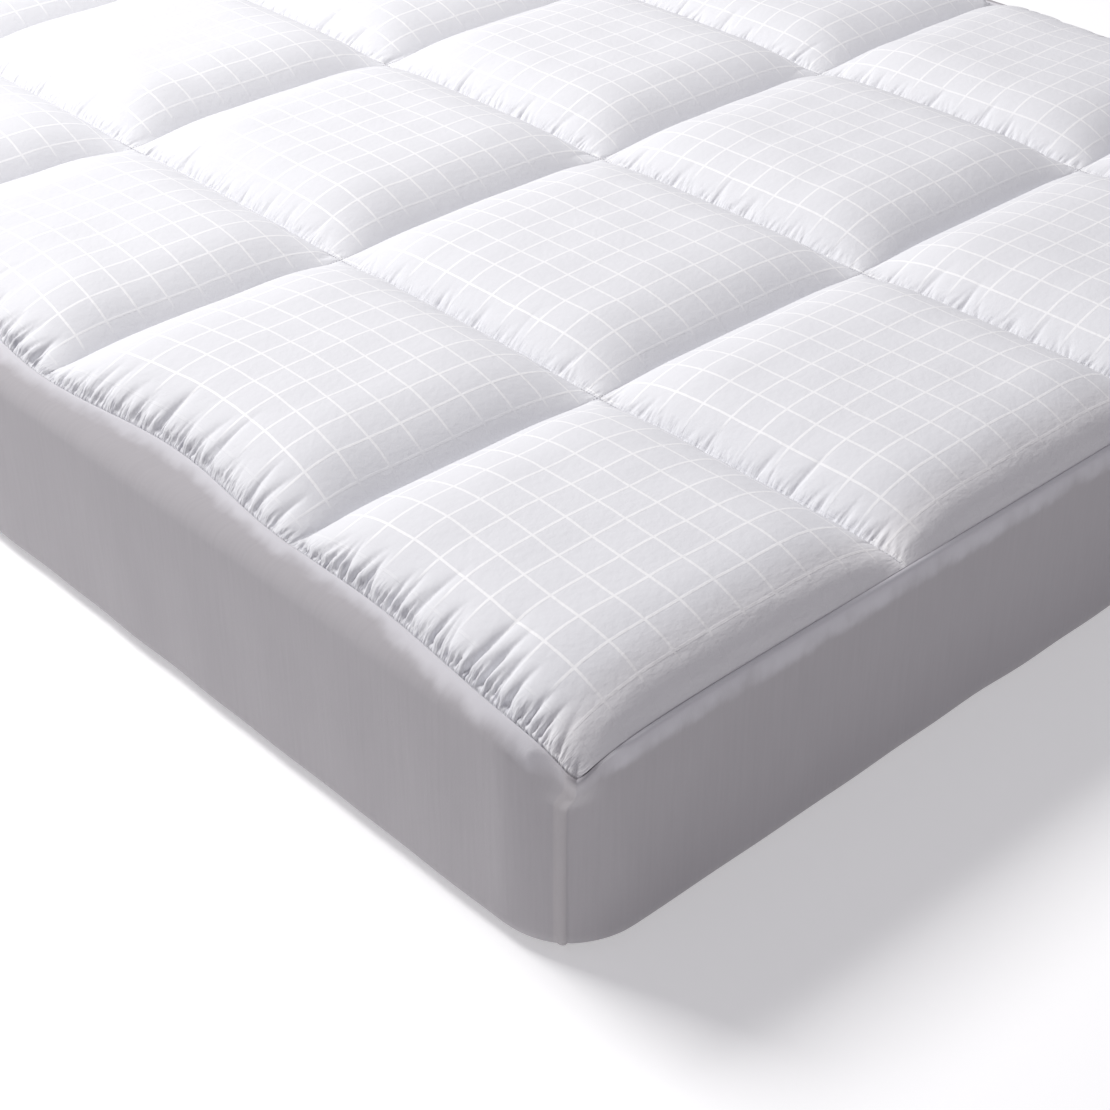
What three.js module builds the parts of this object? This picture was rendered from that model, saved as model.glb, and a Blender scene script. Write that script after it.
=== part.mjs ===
// Quilted mattress protector, fitted on a plain mattress that lies on a flat surface.
// Millimetres. X runs across the bed, Y along it, Z up. The origin is on the surface,
// under the middle of the bed. The near corner of the bed is at -X, -Y.
import * as THREE from 'three';

// The mattress, a plain block with rounded corners whose top corners give way a little
const MATTRESS = { width: 1600, length: 2000, height: 216 };
const MATTRESS_CORNER = 80;
const MATTRESS_TOP_EDGE = 14;
const MATTRESS_BOTTOM_EDGE = 24;
const CORNER_SINK = 12;
const CORNER_SINK_REACH = 108;

// The fit between the pieces
const GAP = 0.3;
const SEAM_GAP = 0.4;
const DRAPE_CLEARANCE = 2;
// Shares of the corner's radius at which the mattress's top has two more rings of points
const TOP_RING_SHARES = [0.5, 0.94];

// The skirt, a strip of stretch knit sewn round the panel and turned under the mattress
const KNIT = 2;
const HEM_TURN = 62;
const SEAM_RIDGE = 4.5;
const SEAM_RIDGE_WIDTH = 15;
const SMOOTH_BELOW = 150;
// A seam at least this far inside the wall has the skirt lying over the mattress's edge.
// Nearer the corners it hangs free from the seam, and the change takes the second length.
const HUG_INSET = 2.6;
const HUG_FADE = 5;

// The quilted panel: one filled pad, sewn through into puffed boxes
const COLUMNS = 4;
const ROWS = 5;
const OUTER_BOX_SHARE = 0.95;
const PANEL_HALF_WIDTH = 768;
const PANEL_HALF_LENGTH = 997;
const CORNER_SPREAD = 18;
const CORNER_SPREAD_FROM = 60;
const CORNER_SPREAD_TO = 300;
const SIDE_DRAW = 18;
const CHANNEL_THICKNESS = 9;
const CROWN = 42;
const SLOW_RISE = 2;
const CROWN_UNEVENNESS = 0.05;
// How the cloth climbs from a seam to the crown: the distance it takes, how round the climb
// is near the crown, and how full it is near the seam
const CHANNEL_SHOULDER = { reach: 120, roundness: 2.6, fullness: 1.3 };
const END_SHOULDER = { reach: 110, roundness: 3, fullness: 1.1 };
const UNEVEN_TURN = { column: 2.3, row: 1.7, start: 0.6 };
const SIDE_EDGE_DROP = 0.6;
const END_EDGE_DROP = 4.6;
const CORNER_DROP = 22;
const CORNER_DROP_REACH = 45;
const EDGE_THICKNESS = { side: 8, end: 4 };
const EDGE_LIFT = 0.8;
const END_BULGE = 2;

// Distances from a sewn channel at which a box of the panel has a row of points
const CHANNEL_STEPS = [0, 3, 10, 26, 55, 110];
// Distance from a channel beyond which the side edge is drawn in between the channels
const DRAW_FROM = 55;
// Distances from the panel's edge at which it has them, and where its edge line bends
const EDGE_STEPS = [0, 13, 39, 78, 200];
const EDGE_FLAT = 78;
// Distances from a corner, along the seam, at which the skirt has a section
const SEAM_STEPS = [0, 13, 26, 39, 52, 65, 78, 120, 200];
// Distances down from the seam at which a section of the skirt has a point on its ridge, and
// the least distances at which its bend over the mattress's edge starts and ends
const RIDGE_STEPS = [0, 5, 10, 15];
const BEND_FROM = 18;
const BEND_TO = 40;
const BEND_STEPS = 3;
const EDGE_ARC_STEPS = 4;
const HEM_ARC_STEPS = 4;
const DRAPE_ARC_STEPS = 12;

const MATTRESS_BOTTOM = KNIT + GAP;
const MATTRESS_TOP = MATTRESS_BOTTOM + MATTRESS.height;
const CHANNEL_TOP = MATTRESS_TOP + GAP + CHANNEL_THICKNESS;
const HALF_WIDTH = MATTRESS.width / 2;
const HALF_LENGTH = MATTRESS.length / 2;
const QUARTER = Math.PI / 2;
const FULL_TURN = 4 * QUARTER;
const TINY = 1e-6;
const SLACK = 1e-3;

const lerp = THREE.MathUtils.lerp;
const clamp = THREE.MathUtils.clamp;
const smoothstep = THREE.MathUtils.smoothstep;

// How far a point in plan lies outside the mattress's wall; negative is inside
function outside(x, y) {
  const dx = Math.abs(x) - (HALF_WIDTH - MATTRESS_CORNER);
  const dy = Math.abs(y) - (HALF_LENGTH - MATTRESS_CORNER);
  const reach = Math.hypot(Math.max(dx, 0), Math.max(dy, 0)) + Math.min(Math.max(dx, dy), 0);
  return reach - MATTRESS_CORNER;
}

// How far the soft corners of the mattress are pressed down by the stretched skirt
function cornerSink(x, y) {
  const r = Math.hypot(Math.abs(x) - HALF_WIDTH, Math.abs(y) - HALF_LENGTH);
  const share = Math.max(0, 1 - (r / CORNER_SINK_REACH) ** 2);
  return CORNER_SINK * share * share;
}

// Value between the two rows of a table on either side of a distance
function alongTable(distances, values, distance) {
  const last = distances.length - 1;
  if (distance >= distances[last]) return values[last];
  const k = distances.findIndex((d) => d > distance);
  const share = (distance - distances[k - 1]) / (distances[k] - distances[k - 1]);
  return lerp(values[k - 1], values[k], share);
}

// Centre distances of the panel's rows of points along one direction, with each one's box.
// The ones that bend are those where the edge line across their ends changes direction.
function panelLines(half, boxes, drawnIn) {
  const inner = (2 * half) / (boxes - 2 + 2 * OUTER_BOX_SHARE);
  const outer = inner * OUTER_BOX_SHARE;
  const lines = [];
  let start = -half;
  for (let box = 0; box < boxes; box++) {
    const isOuter = box === 0 || box === boxes - 1;
    const size = isOuter ? outer : inner;
    const near = box === 0 ? EDGE_STEPS : CHANNEL_STEPS;
    const middle = isOuter ? [] : [size / 2];
    const far = box === boxes - 1 ? EDGE_STEPS : CHANNEL_STEPS;
    const steps = [...near, ...middle, ...far.filter((s) => s > 0).reverse().map((s) => size - s)];
    for (const step of steps) {
      const fromChannel = Math.min(step, size - step);
      const atEdge = EDGE_STEPS.some((s) => Math.abs(half - Math.abs(start + step) - s) < TINY);
      const bends = step === 0 || atEdge || (drawnIn && !isOuter && fromChannel > DRAW_FROM - TINY);
      lines.push({ at: start + step, box, share: step / size, step, size, bends });
    }
    start += size;
  }
  lines.push({ at: half, box: boxes - 1, share: 1, step: start, size: start, bends: true });
  return { lines, outer };
}

const across = panelLines(PANEL_HALF_WIDTH, COLUMNS, false);
const along = panelLines(PANEL_HALF_LENGTH, ROWS, true);

// The panel's side edge line, by distance from the nearer corner: it spreads outward at the
// corner and is drawn in between the channels
const sideBends = along.lines.filter(({ at, bends }) => bends && at < TINY);
const sideDistances = sideBends.map(({ at }) => at + PANEL_HALF_LENGTH);
const sideSpread = sideBends.map(({ at, box, share }) => {
  if (box > 0) return -SIDE_DRAW * Math.sin(Math.PI * share) ** 2;
  const distance = at + PANEL_HALF_LENGTH;
  return CORNER_SPREAD * (1 - smoothstep(distance, CORNER_SPREAD_FROM, CORNER_SPREAD_TO));
});
// How far the edge droops towards a corner
const droopDistances = [...EDGE_STEPS, across.outer];
const edgeDroop = droopDistances.map((s) => Math.exp(-s / CORNER_DROP_REACH));

const spreadAt = (s) => alongTable(sideDistances, sideSpread, s);
const droopAt = (s) => alongTable(droopDistances, edgeDroop, s);
const sideDepth = (s) => lerp(SIDE_EDGE_DROP, CORNER_DROP, droopAt(s));
const endDepth = (s) => lerp(END_EDGE_DROP, CORNER_DROP, droopAt(s));

// One closed mesh from a list of points and a list of faces
function solid(name, points, faces, material) {
  const geometry = new THREE.BufferGeometry();
  geometry.setAttribute('position', new THREE.Float32BufferAttribute(points.flat(), 3));
  geometry.setIndex(faces.flat());
  geometry.computeVertexNormals();
  const mesh = new THREE.Mesh(geometry, material);
  mesh.name = name;
  return mesh;
}

// Two triangles over the four points a, b, c, d, which run anticlockwise seen from outside
const quad = (a, b, c, d) => [[a, b, c], [a, c, d]];

// Sections of the bed's outline, anticlockwise seen from above. Each has its point on the
// mattress's wall, the direction straight out of that wall, and its point on the seam.
function outlineSections() {
  const seamX = PANEL_HALF_WIDTH + SEAM_GAP;
  const seamY = PANEL_HALF_LENGTH + SEAM_GAP;
  const corners = [[-1, -1], [1, -1], [1, 1], [-1, 1]];
  const sections = [];
  corners.forEach(([cx, cy], k) => {
    const [nx, ny] = corners[(k + 1) % corners.length];
    const alongX = cy === ny;
    const half = alongX ? seamX + CORNER_SPREAD : seamY;
    const wallHalf = alongX ? HALF_WIDTH : HALF_LENGTH;
    const bends = alongX ? [across.outer, half] : sideDistances.filter((s) => s > SEAM_STEPS.at(-1) + TINY);
    const first = [...SEAM_STEPS, ...bends];
    const distances = [...first, ...first.slice(1, -1).reverse().map((s) => 2 * half - s)];
    for (const distance of distances) {
      const nearer = Math.min(distance, 2 * half - distance);
      const atStart = distance <= half;
      const [sx, sy] = atStart ? [cx, cy] : [nx, ny];
      const seam = alongX
        ? [sx * (half - nearer), sy * seamY]
        : [sx * (seamX + spreadAt(nearer)), sy * (half - nearer)];
      const turn = (clamp(nearer / EDGE_FLAT, 0, 1) * QUARTER) / 2;
      const lean = alongX ? QUARTER / 2 + turn : QUARTER / 2 - turn;
      const out = [sx * Math.cos(lean), sy * Math.sin(lean)];
      const run = Math.max(0, (nearer - EDGE_FLAT) / (half - EDGE_FLAT)) * (wallHalf - MATTRESS_CORNER);
      const hub = [HALF_WIDTH - MATTRESS_CORNER, HALF_LENGTH - MATTRESS_CORNER];
      hub[alongX ? 0 : 1] -= run;
      const wall = [sx * hub[0] + MATTRESS_CORNER * out[0], sy * hub[1] + MATTRESS_CORNER * out[1]];
      const depth = alongX ? endDepth(nearer) : sideDepth(nearer);
      sections.push({ wall, out, seam, depth });
    }
  });
  return sections;
}

// The mattress: rings of points from the underside, up the wall and in over the top
function mattress(sections, material) {
  const rings = [];
  for (let k = 0; k <= EDGE_ARC_STEPS; k++) {
    const turn = (k / EDGE_ARC_STEPS) * QUARTER;
    rings.push({
      inset: MATTRESS_BOTTOM_EDGE * (1 - Math.sin(turn)),
      z: MATTRESS_BOTTOM + MATTRESS_BOTTOM_EDGE * (1 - Math.cos(turn)),
    });
  }
  for (let k = 0; k <= EDGE_ARC_STEPS; k++) {
    const turn = (k / EDGE_ARC_STEPS) * QUARTER;
    rings.push({
      inset: MATTRESS_TOP_EDGE * (1 - Math.cos(turn)),
      z: MATTRESS_TOP - MATTRESS_TOP_EDGE * (1 - Math.sin(turn)),
      top: true,
    });
  }
  for (const share of TOP_RING_SHARES) {
    rings.push({ inset: MATTRESS_CORNER * share, z: MATTRESS_TOP, top: true });
  }
  const points = rings.flatMap(({ inset, z, top }) => sections.map(({ wall, out }) => {
    const x = wall[0] - inset * out[0];
    const y = wall[1] - inset * out[1];
    return [x, y, top ? z - cornerSink(x, y) : z];
  }));
  const n = sections.length;
  const faces = [];
  for (let r = 0; r + 1 < rings.length; r++) {
    for (let k = 0; k < n; k++) {
      const next = (k + 1) % n;
      faces.push(...quad(r * n + k, r * n + next, (r + 1) * n + next, (r + 1) * n + k));
    }
  }
  const cap = (ring) => {
    const contour = points.slice(ring * n, (ring + 1) * n).map(([x, y]) => new THREE.Vector2(x, y));
    return THREE.ShapeUtils.triangulateShape(contour, []).map((face) => face.map((k) => ring * n + k));
  };
  faces.push(...cap(0).map(([a, b, c]) => [a, c, b]), ...cap(rings.length - 1));
  return solid('mattress', points, faces, material);
}

// Share of the climb to the crown that is done at a distance from a seam
function climb({ reach, roundness, fullness }, distance) {
  const rest = 1 - clamp(distance / reach, 0, 1);
  return (1 - rest ** roundness) ** (1 / fullness);
}

// Share of the crown at a row or column of points, from the nearer of its box's two seams
function rise({ box, step, size }, boxes, edgeShoulder) {
  const nearStart = step <= size - step;
  const atEdge = box === (nearStart ? 0 : boxes - 1);
  const distance = Math.max(0, Math.min(step, size - step));
  const climbed = climb(atEdge ? edgeShoulder : CHANNEL_SHOULDER, distance);
  return ((CROWN - SLOW_RISE) * climbed + SLOW_RISE * Math.sin((Math.PI * distance) / size)) / CROWN;
}

// Height of a box's puff over its channels
function puff(column, row) {
  const swell = rise(column, COLUMNS, CHANNEL_SHOULDER) * rise(row, ROWS, END_SHOULDER);
  const turn = UNEVEN_TURN.column * column.box + UNEVEN_TURN.row * row.box + UNEVEN_TURN.start;
  return CROWN * swell * (1 + CROWN_UNEVENNESS * Math.sin(turn));
}

// The quilted panel: a grid of points over its top, a coarser one beneath, and its edge
function quiltedPanel(material) {
  const toSide = (x) => PANEL_HALF_WIDTH - Math.abs(x);
  const toEnd = (y) => PANEL_HALF_LENGTH - Math.abs(y);

  // Plan place of a grid point: the outer boxes spread with the edge line at the corners
  const place = (x, y) => {
    const fade = 1 - clamp((toSide(x) - EDGE_FLAT) / (across.outer - EDGE_FLAT), 0, 1);
    return [x + Math.sign(x) * spreadAt(toEnd(y)) * fade, y];
  };
  // Height of the channels' level, which falls towards the edges and the corners
  const level = (x, y) => {
    const s = toSide(x);
    const e = toEnd(y);
    if (s < TINY) return CHANNEL_TOP - sideDepth(e);
    if (e < TINY) return CHANNEL_TOP - endDepth(s);
    const corner = (CORNER_DROP - END_EDGE_DROP) * Math.exp(-Math.hypot(s, e) / CORNER_DROP_REACH);
    const end = END_EDGE_DROP * Math.exp(-e / EDGE_STEPS[1]);
    return CHANNEL_TOP - corner - end;
  };

  const points = [];
  const faces = [];
  const grid = (xs, ys, heightAt, bulge) => {
    const ids = ys.map((line) => xs.map((column) => {
      const [x, y] = place(column.at, line.at);
      const swing = bulge && Math.abs(toEnd(line.at) - EDGE_STEPS[1]) < TINY
        ? END_BULGE * smoothstep(toSide(column.at), 0, EDGE_STEPS[2]) : 0;
      points.push([x, y + Math.sign(y) * swing, heightAt(column, line, x, y)]);
      return points.length - 1;
    }));
    return ids;
  };
  const top = grid(across.lines, along.lines, (column, line) => level(column.at, line.at)
    + puff(column, line), true);

  const coarse = ({ lines }) => lines.filter(({ bends }) => bends);
  const bottom = grid(coarse(across), coarse(along), (column, line) => {
    const [s, e] = [toSide(column.at), toEnd(line.at)];
    if (e < TINY) return level(column.at, line.at) - EDGE_THICKNESS.end;
    if (s < TINY && e < EDGE_FLAT - TINY) return level(column.at, line.at) - EDGE_THICKNESS.side;
    return MATTRESS_TOP + GAP + (e < EDGE_STEPS[2] - TINY ? EDGE_LIFT : 0);
  }, false);

  const cover = (ids, up) => {
    for (let r = 0; r + 1 < ids.length; r++) {
      for (let c = 0; c + 1 < ids[r].length; c++) {
        const ring = [ids[r][c], ids[r][c + 1], ids[r + 1][c + 1], ids[r + 1][c]];
        faces.push(...quad(...(up ? ring : ring.reverse())));
      }
    }
  };
  cover(top, true);
  cover(bottom, false);

  // The edge joins the two grids' rims, each with its own number of points
  const rim = (ids) => [
    ...ids[0],
    ...ids.slice(1).map((row) => row.at(-1)),
    ...ids.at(-1).slice(0, -1).reverse(),
    ...ids.slice(1, -1).map((row) => row[0]).reverse(),
  ];
  // A rim point's turn round the panel, from 0 at the first corner, at -X and -Y
  const turnOf = (id) => {
    const [x, y] = points[id];
    const turn = Math.atan2(y / PANEL_HALF_LENGTH, x / (PANEL_HALF_WIDTH + CORNER_SPREAD)) + 1.5 * QUARTER;
    return turn < -SLACK ? turn + FULL_TURN : turn;
  };
  const upper = rim(top);
  const lower = rim(bottom);
  let u = 0;
  let l = 0;
  const turnAt = (ring, k) => (k < ring.length ? turnOf(ring[k]) : FULL_TURN);
  while (u < upper.length || l < lower.length) {
    const a = upper[u % upper.length];
    const b = lower[l % lower.length];
    const upperNext = turnAt(upper, u + 1);
    const lowerNext = turnAt(lower, l + 1);
    if (l >= lower.length || (u < upper.length && upperNext < lowerNext - TINY)) {
      faces.push([a, b, upper[(u + 1) % upper.length]]);
      u += 1;
    } else {
      faces.push([a, b, lower[(l + 1) % lower.length]]);
      l += 1;
    }
  }
  return solid('quilted_panel', points, faces, material);
}

// Path of the skirt's inner face down one section, as a list of points from the seam to
// the level below which the skirt hangs straight
function skirtFall({ wall, out, seam, depth }) {
  const inset = -outside(seam[0], seam[1]);
  const seat = Math.max(inset, HUG_INSET);
  const radius = MATTRESS_TOP_EDGE + DRAPE_CLEARANCE;
  const hub = MATTRESS_TOP - MATTRESS_TOP_EDGE;
  const sink = cornerSink(seam[0], seam[1]);
  const seamZ = CHANNEL_TOP - depth - EDGE_THICKNESS.end + SEAM_GAP;

  // Over the mattress's rounded edge, in distance out of the wall and height
  const fine = [];
  if (seat > MATTRESS_TOP_EDGE) fine.push([-seat, hub + radius]);
  const startTurn = Math.max(0, Math.asin(clamp((MATTRESS_TOP_EDGE - seat) / radius, 0, 1)));
  for (let k = 0; k <= DRAPE_ARC_STEPS; k++) {
    const turn = lerp(startTurn, QUARTER, k / DRAPE_ARC_STEPS);
    fine.push([radius * Math.sin(turn) - MATTRESS_TOP_EDGE, hub + radius * Math.cos(turn)]);
  }
  fine.push([DRAPE_CLEARANCE, SMOOTH_BELOW]);
  const lengths = [0];
  for (let k = 1; k < fine.length; k++) {
    lengths.push(lengths[k - 1] + Math.hypot(fine[k][0] - fine[k - 1][0], fine[k][1] - fine[k - 1][1]));
  }
  const total = lengths.at(-1);
  const free = clamp((HUG_INSET - inset) / HUG_FADE, 0, 1);
  const bendFrom = Math.max(BEND_FROM, seat - MATTRESS_TOP_EDGE);
  const bendTo = Math.max(BEND_TO, bendFrom + radius * (QUARTER - startTurn));
  const bend = [];
  for (let k = 0; k <= BEND_STEPS; k++) bend.push(lerp(bendFrom, bendTo, k / BEND_STEPS));
  return [...RIDGE_STEPS, ...bend, total].map((length) => {
    const d = alongTable(lengths, fine.map((p) => p[0]), length);
    const z = alongTable(lengths, fine.map((p) => p[1]), length);
    const give = (sink * (z - SMOOTH_BELOW)) / (MATTRESS_TOP - SMOOTH_BELOW);
    const hugging = d < 0
      ? [wall[0] - ((seam[0] - wall[0]) * d) / seat, wall[1] - ((seam[1] - wall[1]) * d) / seat]
      : [wall[0] + out[0] * d, wall[1] + out[1] * d];
    const share = length / total;
    const draw = smoothstep(share, 0, 1);
    const hanging = [0, 1].map((k) => lerp(seam[k], wall[k] + out[k] * DRAPE_CLEARANCE, draw));
    const hangingZ = lerp(seamZ, SMOOTH_BELOW, share);
    return {
      at: [lerp(hugging[0], hanging[0], free), lerp(hugging[1], hanging[1], free),
        lerp(z - give, hangingZ, free)],
      length,
    };
  });
}

// The skirt: a closed strip whose sections run from the seam, down the wall, under the
// mattress to the hem, and back up on the outside
function skirt(sections, material) {
  const loops = sections.map((section) => {
    const { wall, out } = section;
    const path = skirtFall(section);
    const arcOut = MATTRESS_BOTTOM_EDGE + DRAPE_CLEARANCE;
    const arcUp = MATTRESS_BOTTOM + MATTRESS_BOTTOM_EDGE - KNIT;
    for (let k = 0; k <= HEM_ARC_STEPS; k++) {
      const turn = (k / HEM_ARC_STEPS) * QUARTER;
      const d = arcOut * Math.cos(turn) - MATTRESS_BOTTOM_EDGE;
      const z = KNIT + arcUp * (1 - Math.sin(turn));
      path.push({ at: [wall[0] + out[0] * d, wall[1] + out[1] * d, z], length: Infinity });
    }
    path.push({ at: [wall[0] - out[0] * HEM_TURN, wall[1] - out[1] * HEM_TURN, KNIT], length: Infinity });

    const inner = path.map(({ at }) => new THREE.Vector3(...at));
    const around = new THREE.Vector3(-out[1], out[0], 0);
    const outer = inner.map((point, k) => {
      const ahead = inner[Math.min(k + 1, inner.length - 1)].clone();
      const tangent = ahead.sub(inner[Math.max(k - 1, 0)]);
      const normal = around.clone().cross(tangent).normalize();
      const ridge = SEAM_RIDGE * (1 - smoothstep(path[k].length, 0, SEAM_RIDGE_WIDTH));
      return point.clone().addScaledVector(normal, -(KNIT + ridge));
    });
    const flatFrom = inner.length - 2;
    for (let k = flatFrom; k < outer.length; k++) outer[k].set(inner[k].x, inner[k].y, 0);
    return [...inner, ...outer.reverse()];
  });
  const size = loops[0].length;
  const points = loops.flatMap((loop) => loop.map((p) => [p.x, p.y, p.z]));
  const faces = [];
  loops.forEach((_, k) => {
    const next = (k + 1) % loops.length;
    for (let p = 0; p < size; p++) {
      const q = (p + 1) % size;
      faces.push(...quad(k * size + p, next * size + p, next * size + q, k * size + q));
    }
  });
  return solid('skirt', points, faces, material);
}

const ticking = new THREE.MeshStandardMaterial({ color: 0xe6e4de, roughness: 0.9, metalness: 0 });
const quilting = new THREE.MeshStandardMaterial({ color: 0xf4f4f8, roughness: 0.75, metalness: 0 });
const knit = new THREE.MeshStandardMaterial({ color: 0xeceaf0, roughness: 0.9, metalness: 0 });

const sections = outlineSections();
const bed = new THREE.Group();
bed.add(mattress(sections, ticking), quiltedPanel(quilting), skirt(sections, knit));

export default bed;
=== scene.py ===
"""Quilted mattress protector on a plain mattress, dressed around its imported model.

A padded white panel is sewn through into four by five puffed boxes. A skirt of stretch
knit is sewn round it, falls over the mattress and is turned under it. Sizes are in
millimetres, and the meshes are in metres. X runs across the bed, Y along it, Z up.
"""

import logging
import math
from dataclasses import dataclass, field
from enum import Enum
from typing import Union

import bmesh
import bpy
import numpy as np
from mathutils import Matrix, Vector


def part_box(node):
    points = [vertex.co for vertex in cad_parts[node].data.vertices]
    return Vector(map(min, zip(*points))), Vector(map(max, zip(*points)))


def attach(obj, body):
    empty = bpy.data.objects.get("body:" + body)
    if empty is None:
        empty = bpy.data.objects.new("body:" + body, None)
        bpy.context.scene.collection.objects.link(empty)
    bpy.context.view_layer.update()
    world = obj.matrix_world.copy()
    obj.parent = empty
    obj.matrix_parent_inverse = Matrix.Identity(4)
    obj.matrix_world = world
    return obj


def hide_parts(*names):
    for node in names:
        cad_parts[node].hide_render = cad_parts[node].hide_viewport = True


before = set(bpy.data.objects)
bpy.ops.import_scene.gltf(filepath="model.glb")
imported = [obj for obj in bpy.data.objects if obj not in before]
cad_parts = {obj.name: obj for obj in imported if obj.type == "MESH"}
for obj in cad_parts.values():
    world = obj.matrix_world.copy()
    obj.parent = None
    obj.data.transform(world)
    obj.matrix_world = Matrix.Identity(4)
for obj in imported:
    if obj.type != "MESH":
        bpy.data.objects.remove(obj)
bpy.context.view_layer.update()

MM = 0.001
BODY = "root"
CLOTH_MAP = "cloth"
QUARTER = math.pi / 2

log = logging.getLogger("mattress_protector")

Number = Union[float, "Value"]
Colour = tuple[float, float, float]
Point = tuple[float, float, float]


class Density(Enum):
    """How close the rows of points lie in a block of the panel's mesh, in millimetres."""

    FINE = 1.25
    MEDIUM = 3.75
    COARSE = 10.0


class Seam(Enum):
    """The kinds of seam that bound a box of the quilting."""

    CHANNEL = "channel"
    SIDE = "side"
    END = "end"


class Value:
    """A number that varies over a surface. Arithmetic on it adds Math nodes."""

    def __init__(self, nodes: "NodeTree", socket: bpy.types.NodeSocket) -> None:
        """Wraps an output socket of a tree."""
        self.nodes = nodes
        self.socket = socket

    def maths(self, operation: str, *values: Number) -> "Value":
        """Adds one Math node.

        Args:
            operation: the Math node's operation.
            values: its inputs, in order.

        Returns:
            The node's result.
        """
        inputs = dict(enumerate(values))
        return self.nodes.add("ShaderNodeMath", {"operation": operation}, inputs).value("Value")

    def __add__(self, other: Number) -> "Value":
        """This plus other."""
        return self.maths("ADD", self, other)

    def __radd__(self, other: Number) -> "Value":
        """Other plus this."""
        return self.maths("ADD", other, self)

    def __sub__(self, other: Number) -> "Value":
        """This minus other."""
        return self.maths("SUBTRACT", self, other)

    def __rsub__(self, other: Number) -> "Value":
        """Other minus this."""
        return self.maths("SUBTRACT", other, self)

    def __mul__(self, other: Number) -> "Value":
        """This times other."""
        return self.maths("MULTIPLY", self, other)

    def __rmul__(self, other: Number) -> "Value":
        """Other times this."""
        return self.maths("MULTIPLY", other, self)

    def __truediv__(self, other: Number) -> "Value":
        """This over other."""
        return self.maths("DIVIDE", self, other)

    def size(self) -> "Value":
        """This without its sign."""
        return self.maths("ABSOLUTE", self)

    def larger(self, other: Number) -> "Value":
        """The larger of this and other."""
        return self.maths("MAXIMUM", self, other)

    def from_line(self, pitch: float) -> "Value":
        """Distance from the nearest of the lines that stand a pitch apart."""
        return self.maths("PINGPONG", self, pitch / 2)

    def below(self, limit: float, softness: float) -> "Value":
        """A soft mask.

        Args:
            limit: where the mask is a half.
            softness: how far the change takes on either side.

        Returns:
            1 well below the limit and 0 well above it.
        """
        settings = {"interpolation_type": "SMOOTHSTEP"}
        inputs = {
            "Value": self,
            "From Min": limit - softness,
            "From Max": limit + softness,
            "To Min": 1.0,
            "To Max": 0.0,
        }
        return self.nodes.add("ShaderNodeMapRange", settings, inputs).value("Result")


class NodeHandle:
    """One node that was added to a tree."""

    def __init__(self, nodes: "NodeTree", node: bpy.types.Node) -> None:
        """Wraps a node of a tree."""
        self.nodes = nodes
        self.node = node

    def value(self, name: str) -> Value:
        """The output of that name, for arithmetic."""
        return Value(self.nodes, self.node.outputs[name])

    def out(self, name: Union[str, int]) -> bpy.types.NodeSocket:
        """The output socket of that name or place."""
        return self.node.outputs[name]


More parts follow.
